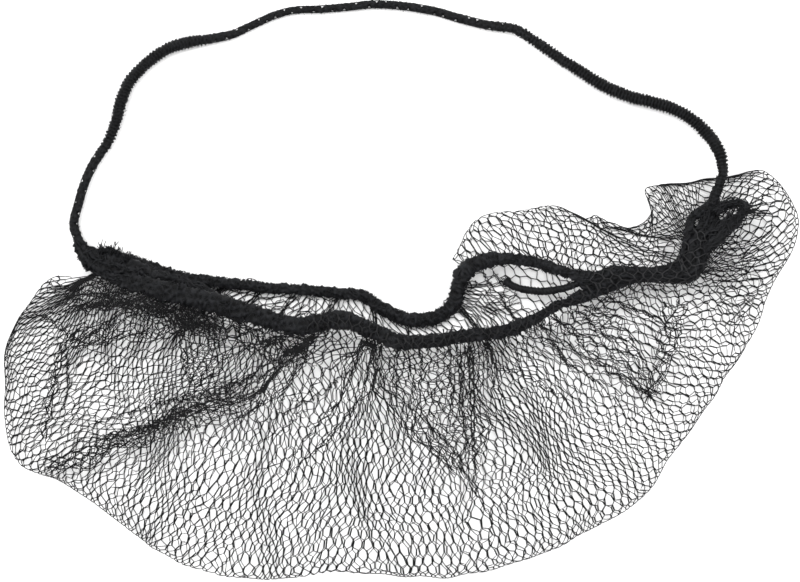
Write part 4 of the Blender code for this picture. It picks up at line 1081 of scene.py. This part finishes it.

# The net over the right end of the edgings: a slack flap of larger cells, which lies across the bundle where
# the two edgings run together, and a band of thread that wraps the front edging where it is sewn on.
# Both are the same black thread as the net, but their dark and light tones are lighter than its own: painted
# sheen, for the light the thread catches against the black cords under it.
Wrap = namedtuple("Wrap", "name start end columns rows over under seed finish dark light")
WRAPS = (
    Wrap("bundle_wrap_threads", 0.755, 0.965, 13, 5, 0.0075, 0.0045, 61, "thread_painted_sheen_over_bundle", 0.007, 0.034),
    Wrap("edging_wrap_threads", 0.320, 0.770, 32, 2, 0.0030, 0.0036, 62, "thread_painted_sheen_over_edging", 0.005, 0.024),
)


def over_cords(points):
    """Height at which a thread lies on the two edgings and the bundle, over places in the plan."""
    top = np.zeros(points.shape[:-1])
    for cord, width, squash in ((front_cord[::8], EDGING_DIAMETER / 2, 0.75),
                                (back_cord[::8], EDGING_DIAMETER / 2, 0.85), (right_line[::6], 1.0, 0.8)):
        way, where = nearest_on(points, cord)
        index = np.round(where).astype(int)
        radius = width * cord[index, 3] + 0.0003
        off = np.minimum((way ** 2).sum(-1), radius ** 2)
        over = cord[index, 2] + squash * np.sqrt(radius ** 2 - off)
        top = np.maximum(top, np.where(off < radius ** 2, over, 0.0))
    return top


front_side = np.column_stack([front_cord[:, :2], sideways(front_cord)[:, :2]])
for wrap in WRAPS:
    # painted sheen: the crossing threads' lighter tones
    dark, light = ((tone, tone, 1.05 * tone) for tone in (wrap.dark, wrap.light))
    painted_sheen_thread = yarn_material(wrap.finish, dark, light, *THREAD_FINISH)
    places, push = lattice(wrap.columns, wrap.rows, wrap.seed, 0.07)
    where = wrap.start + (wrap.end - wrap.start) * places[..., 0] / wrap.columns
    distance = where * run_of(front_cord)[-1]
    middle, right = along_line(front_cord, distance), along_line(front_side, distance)[..., 2:]
    down = places[..., 1:] / wrap.rows
    flat = middle[..., :2] + right * (wrap.under * down - wrap.over * (1 - down))
    flat = flat + waves(flat, 0.010, wrap.seed) * 0.0006
    height = np.maximum(over_cords(flat), front_height(flat))
    beside = np.stack([-right[..., 1], right[..., 0]], axis=-1)
    net_mesh(wrap.name, flat, height + 0.0003, push, beside, painted_sheen_thread)

# The loose tail of the elastic, which comes out between the edgings and lies on the back net. Its end is
# frayed.
TAIL_DIAMETER = 0.0026
TAIL_HEIGHT = 0.0026
TAIL_ROUTE = (
    (63.2, 73.2, 1.25), (64.7, 71.5, 1.0), (67.5, 70.6, 1.05), (70.1, 71.1, 1.0), (71.8, 72.2, 1.0),
    (73.1, 73.3, 0.9),
)
tail_line = traced(TAIL_ROUTE, 12)
tail_rise = front_height(tail_line[-1:, :2])[0] - TAIL_HEIGHT
tail_height = TAIL_HEIGHT + tail_rise * grow(np.linspace(0.0, 1.15, len(tail_line)))
tail_line = evenly(np.column_stack([tail_line[:, :2], tail_height, tail_line[:, 2]]), KNIT_PITCH)
tail = tube_knit("loose_tail_knit", tail_line, TAIL_DIAMETER, 20, np.full(len(tail_line), 0.0012), 5,
                 0.0004, 91)
tail_yarns = loose_yarns("loose_tail_yarns", tail_line, 6, 0.0012, 0.00015, 92)
frayed = tuft([tail_line[2, :3]], [(-1.0, 0.4, 0.0)], 22, 0.0020, 0.0006, 93)
tail_fray = strands("loose_tail_fray", frayed, (0.1, 0.2, 1.0), 0.00013)
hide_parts("loose_tail")
for piece in (left_mass, left_yarns, left_tufts, right_mass, right_yarns, bow, bow_yarns, bow_fill, wisps,
              tail, tail_yarns, tail_fray):
    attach(piece, "root")
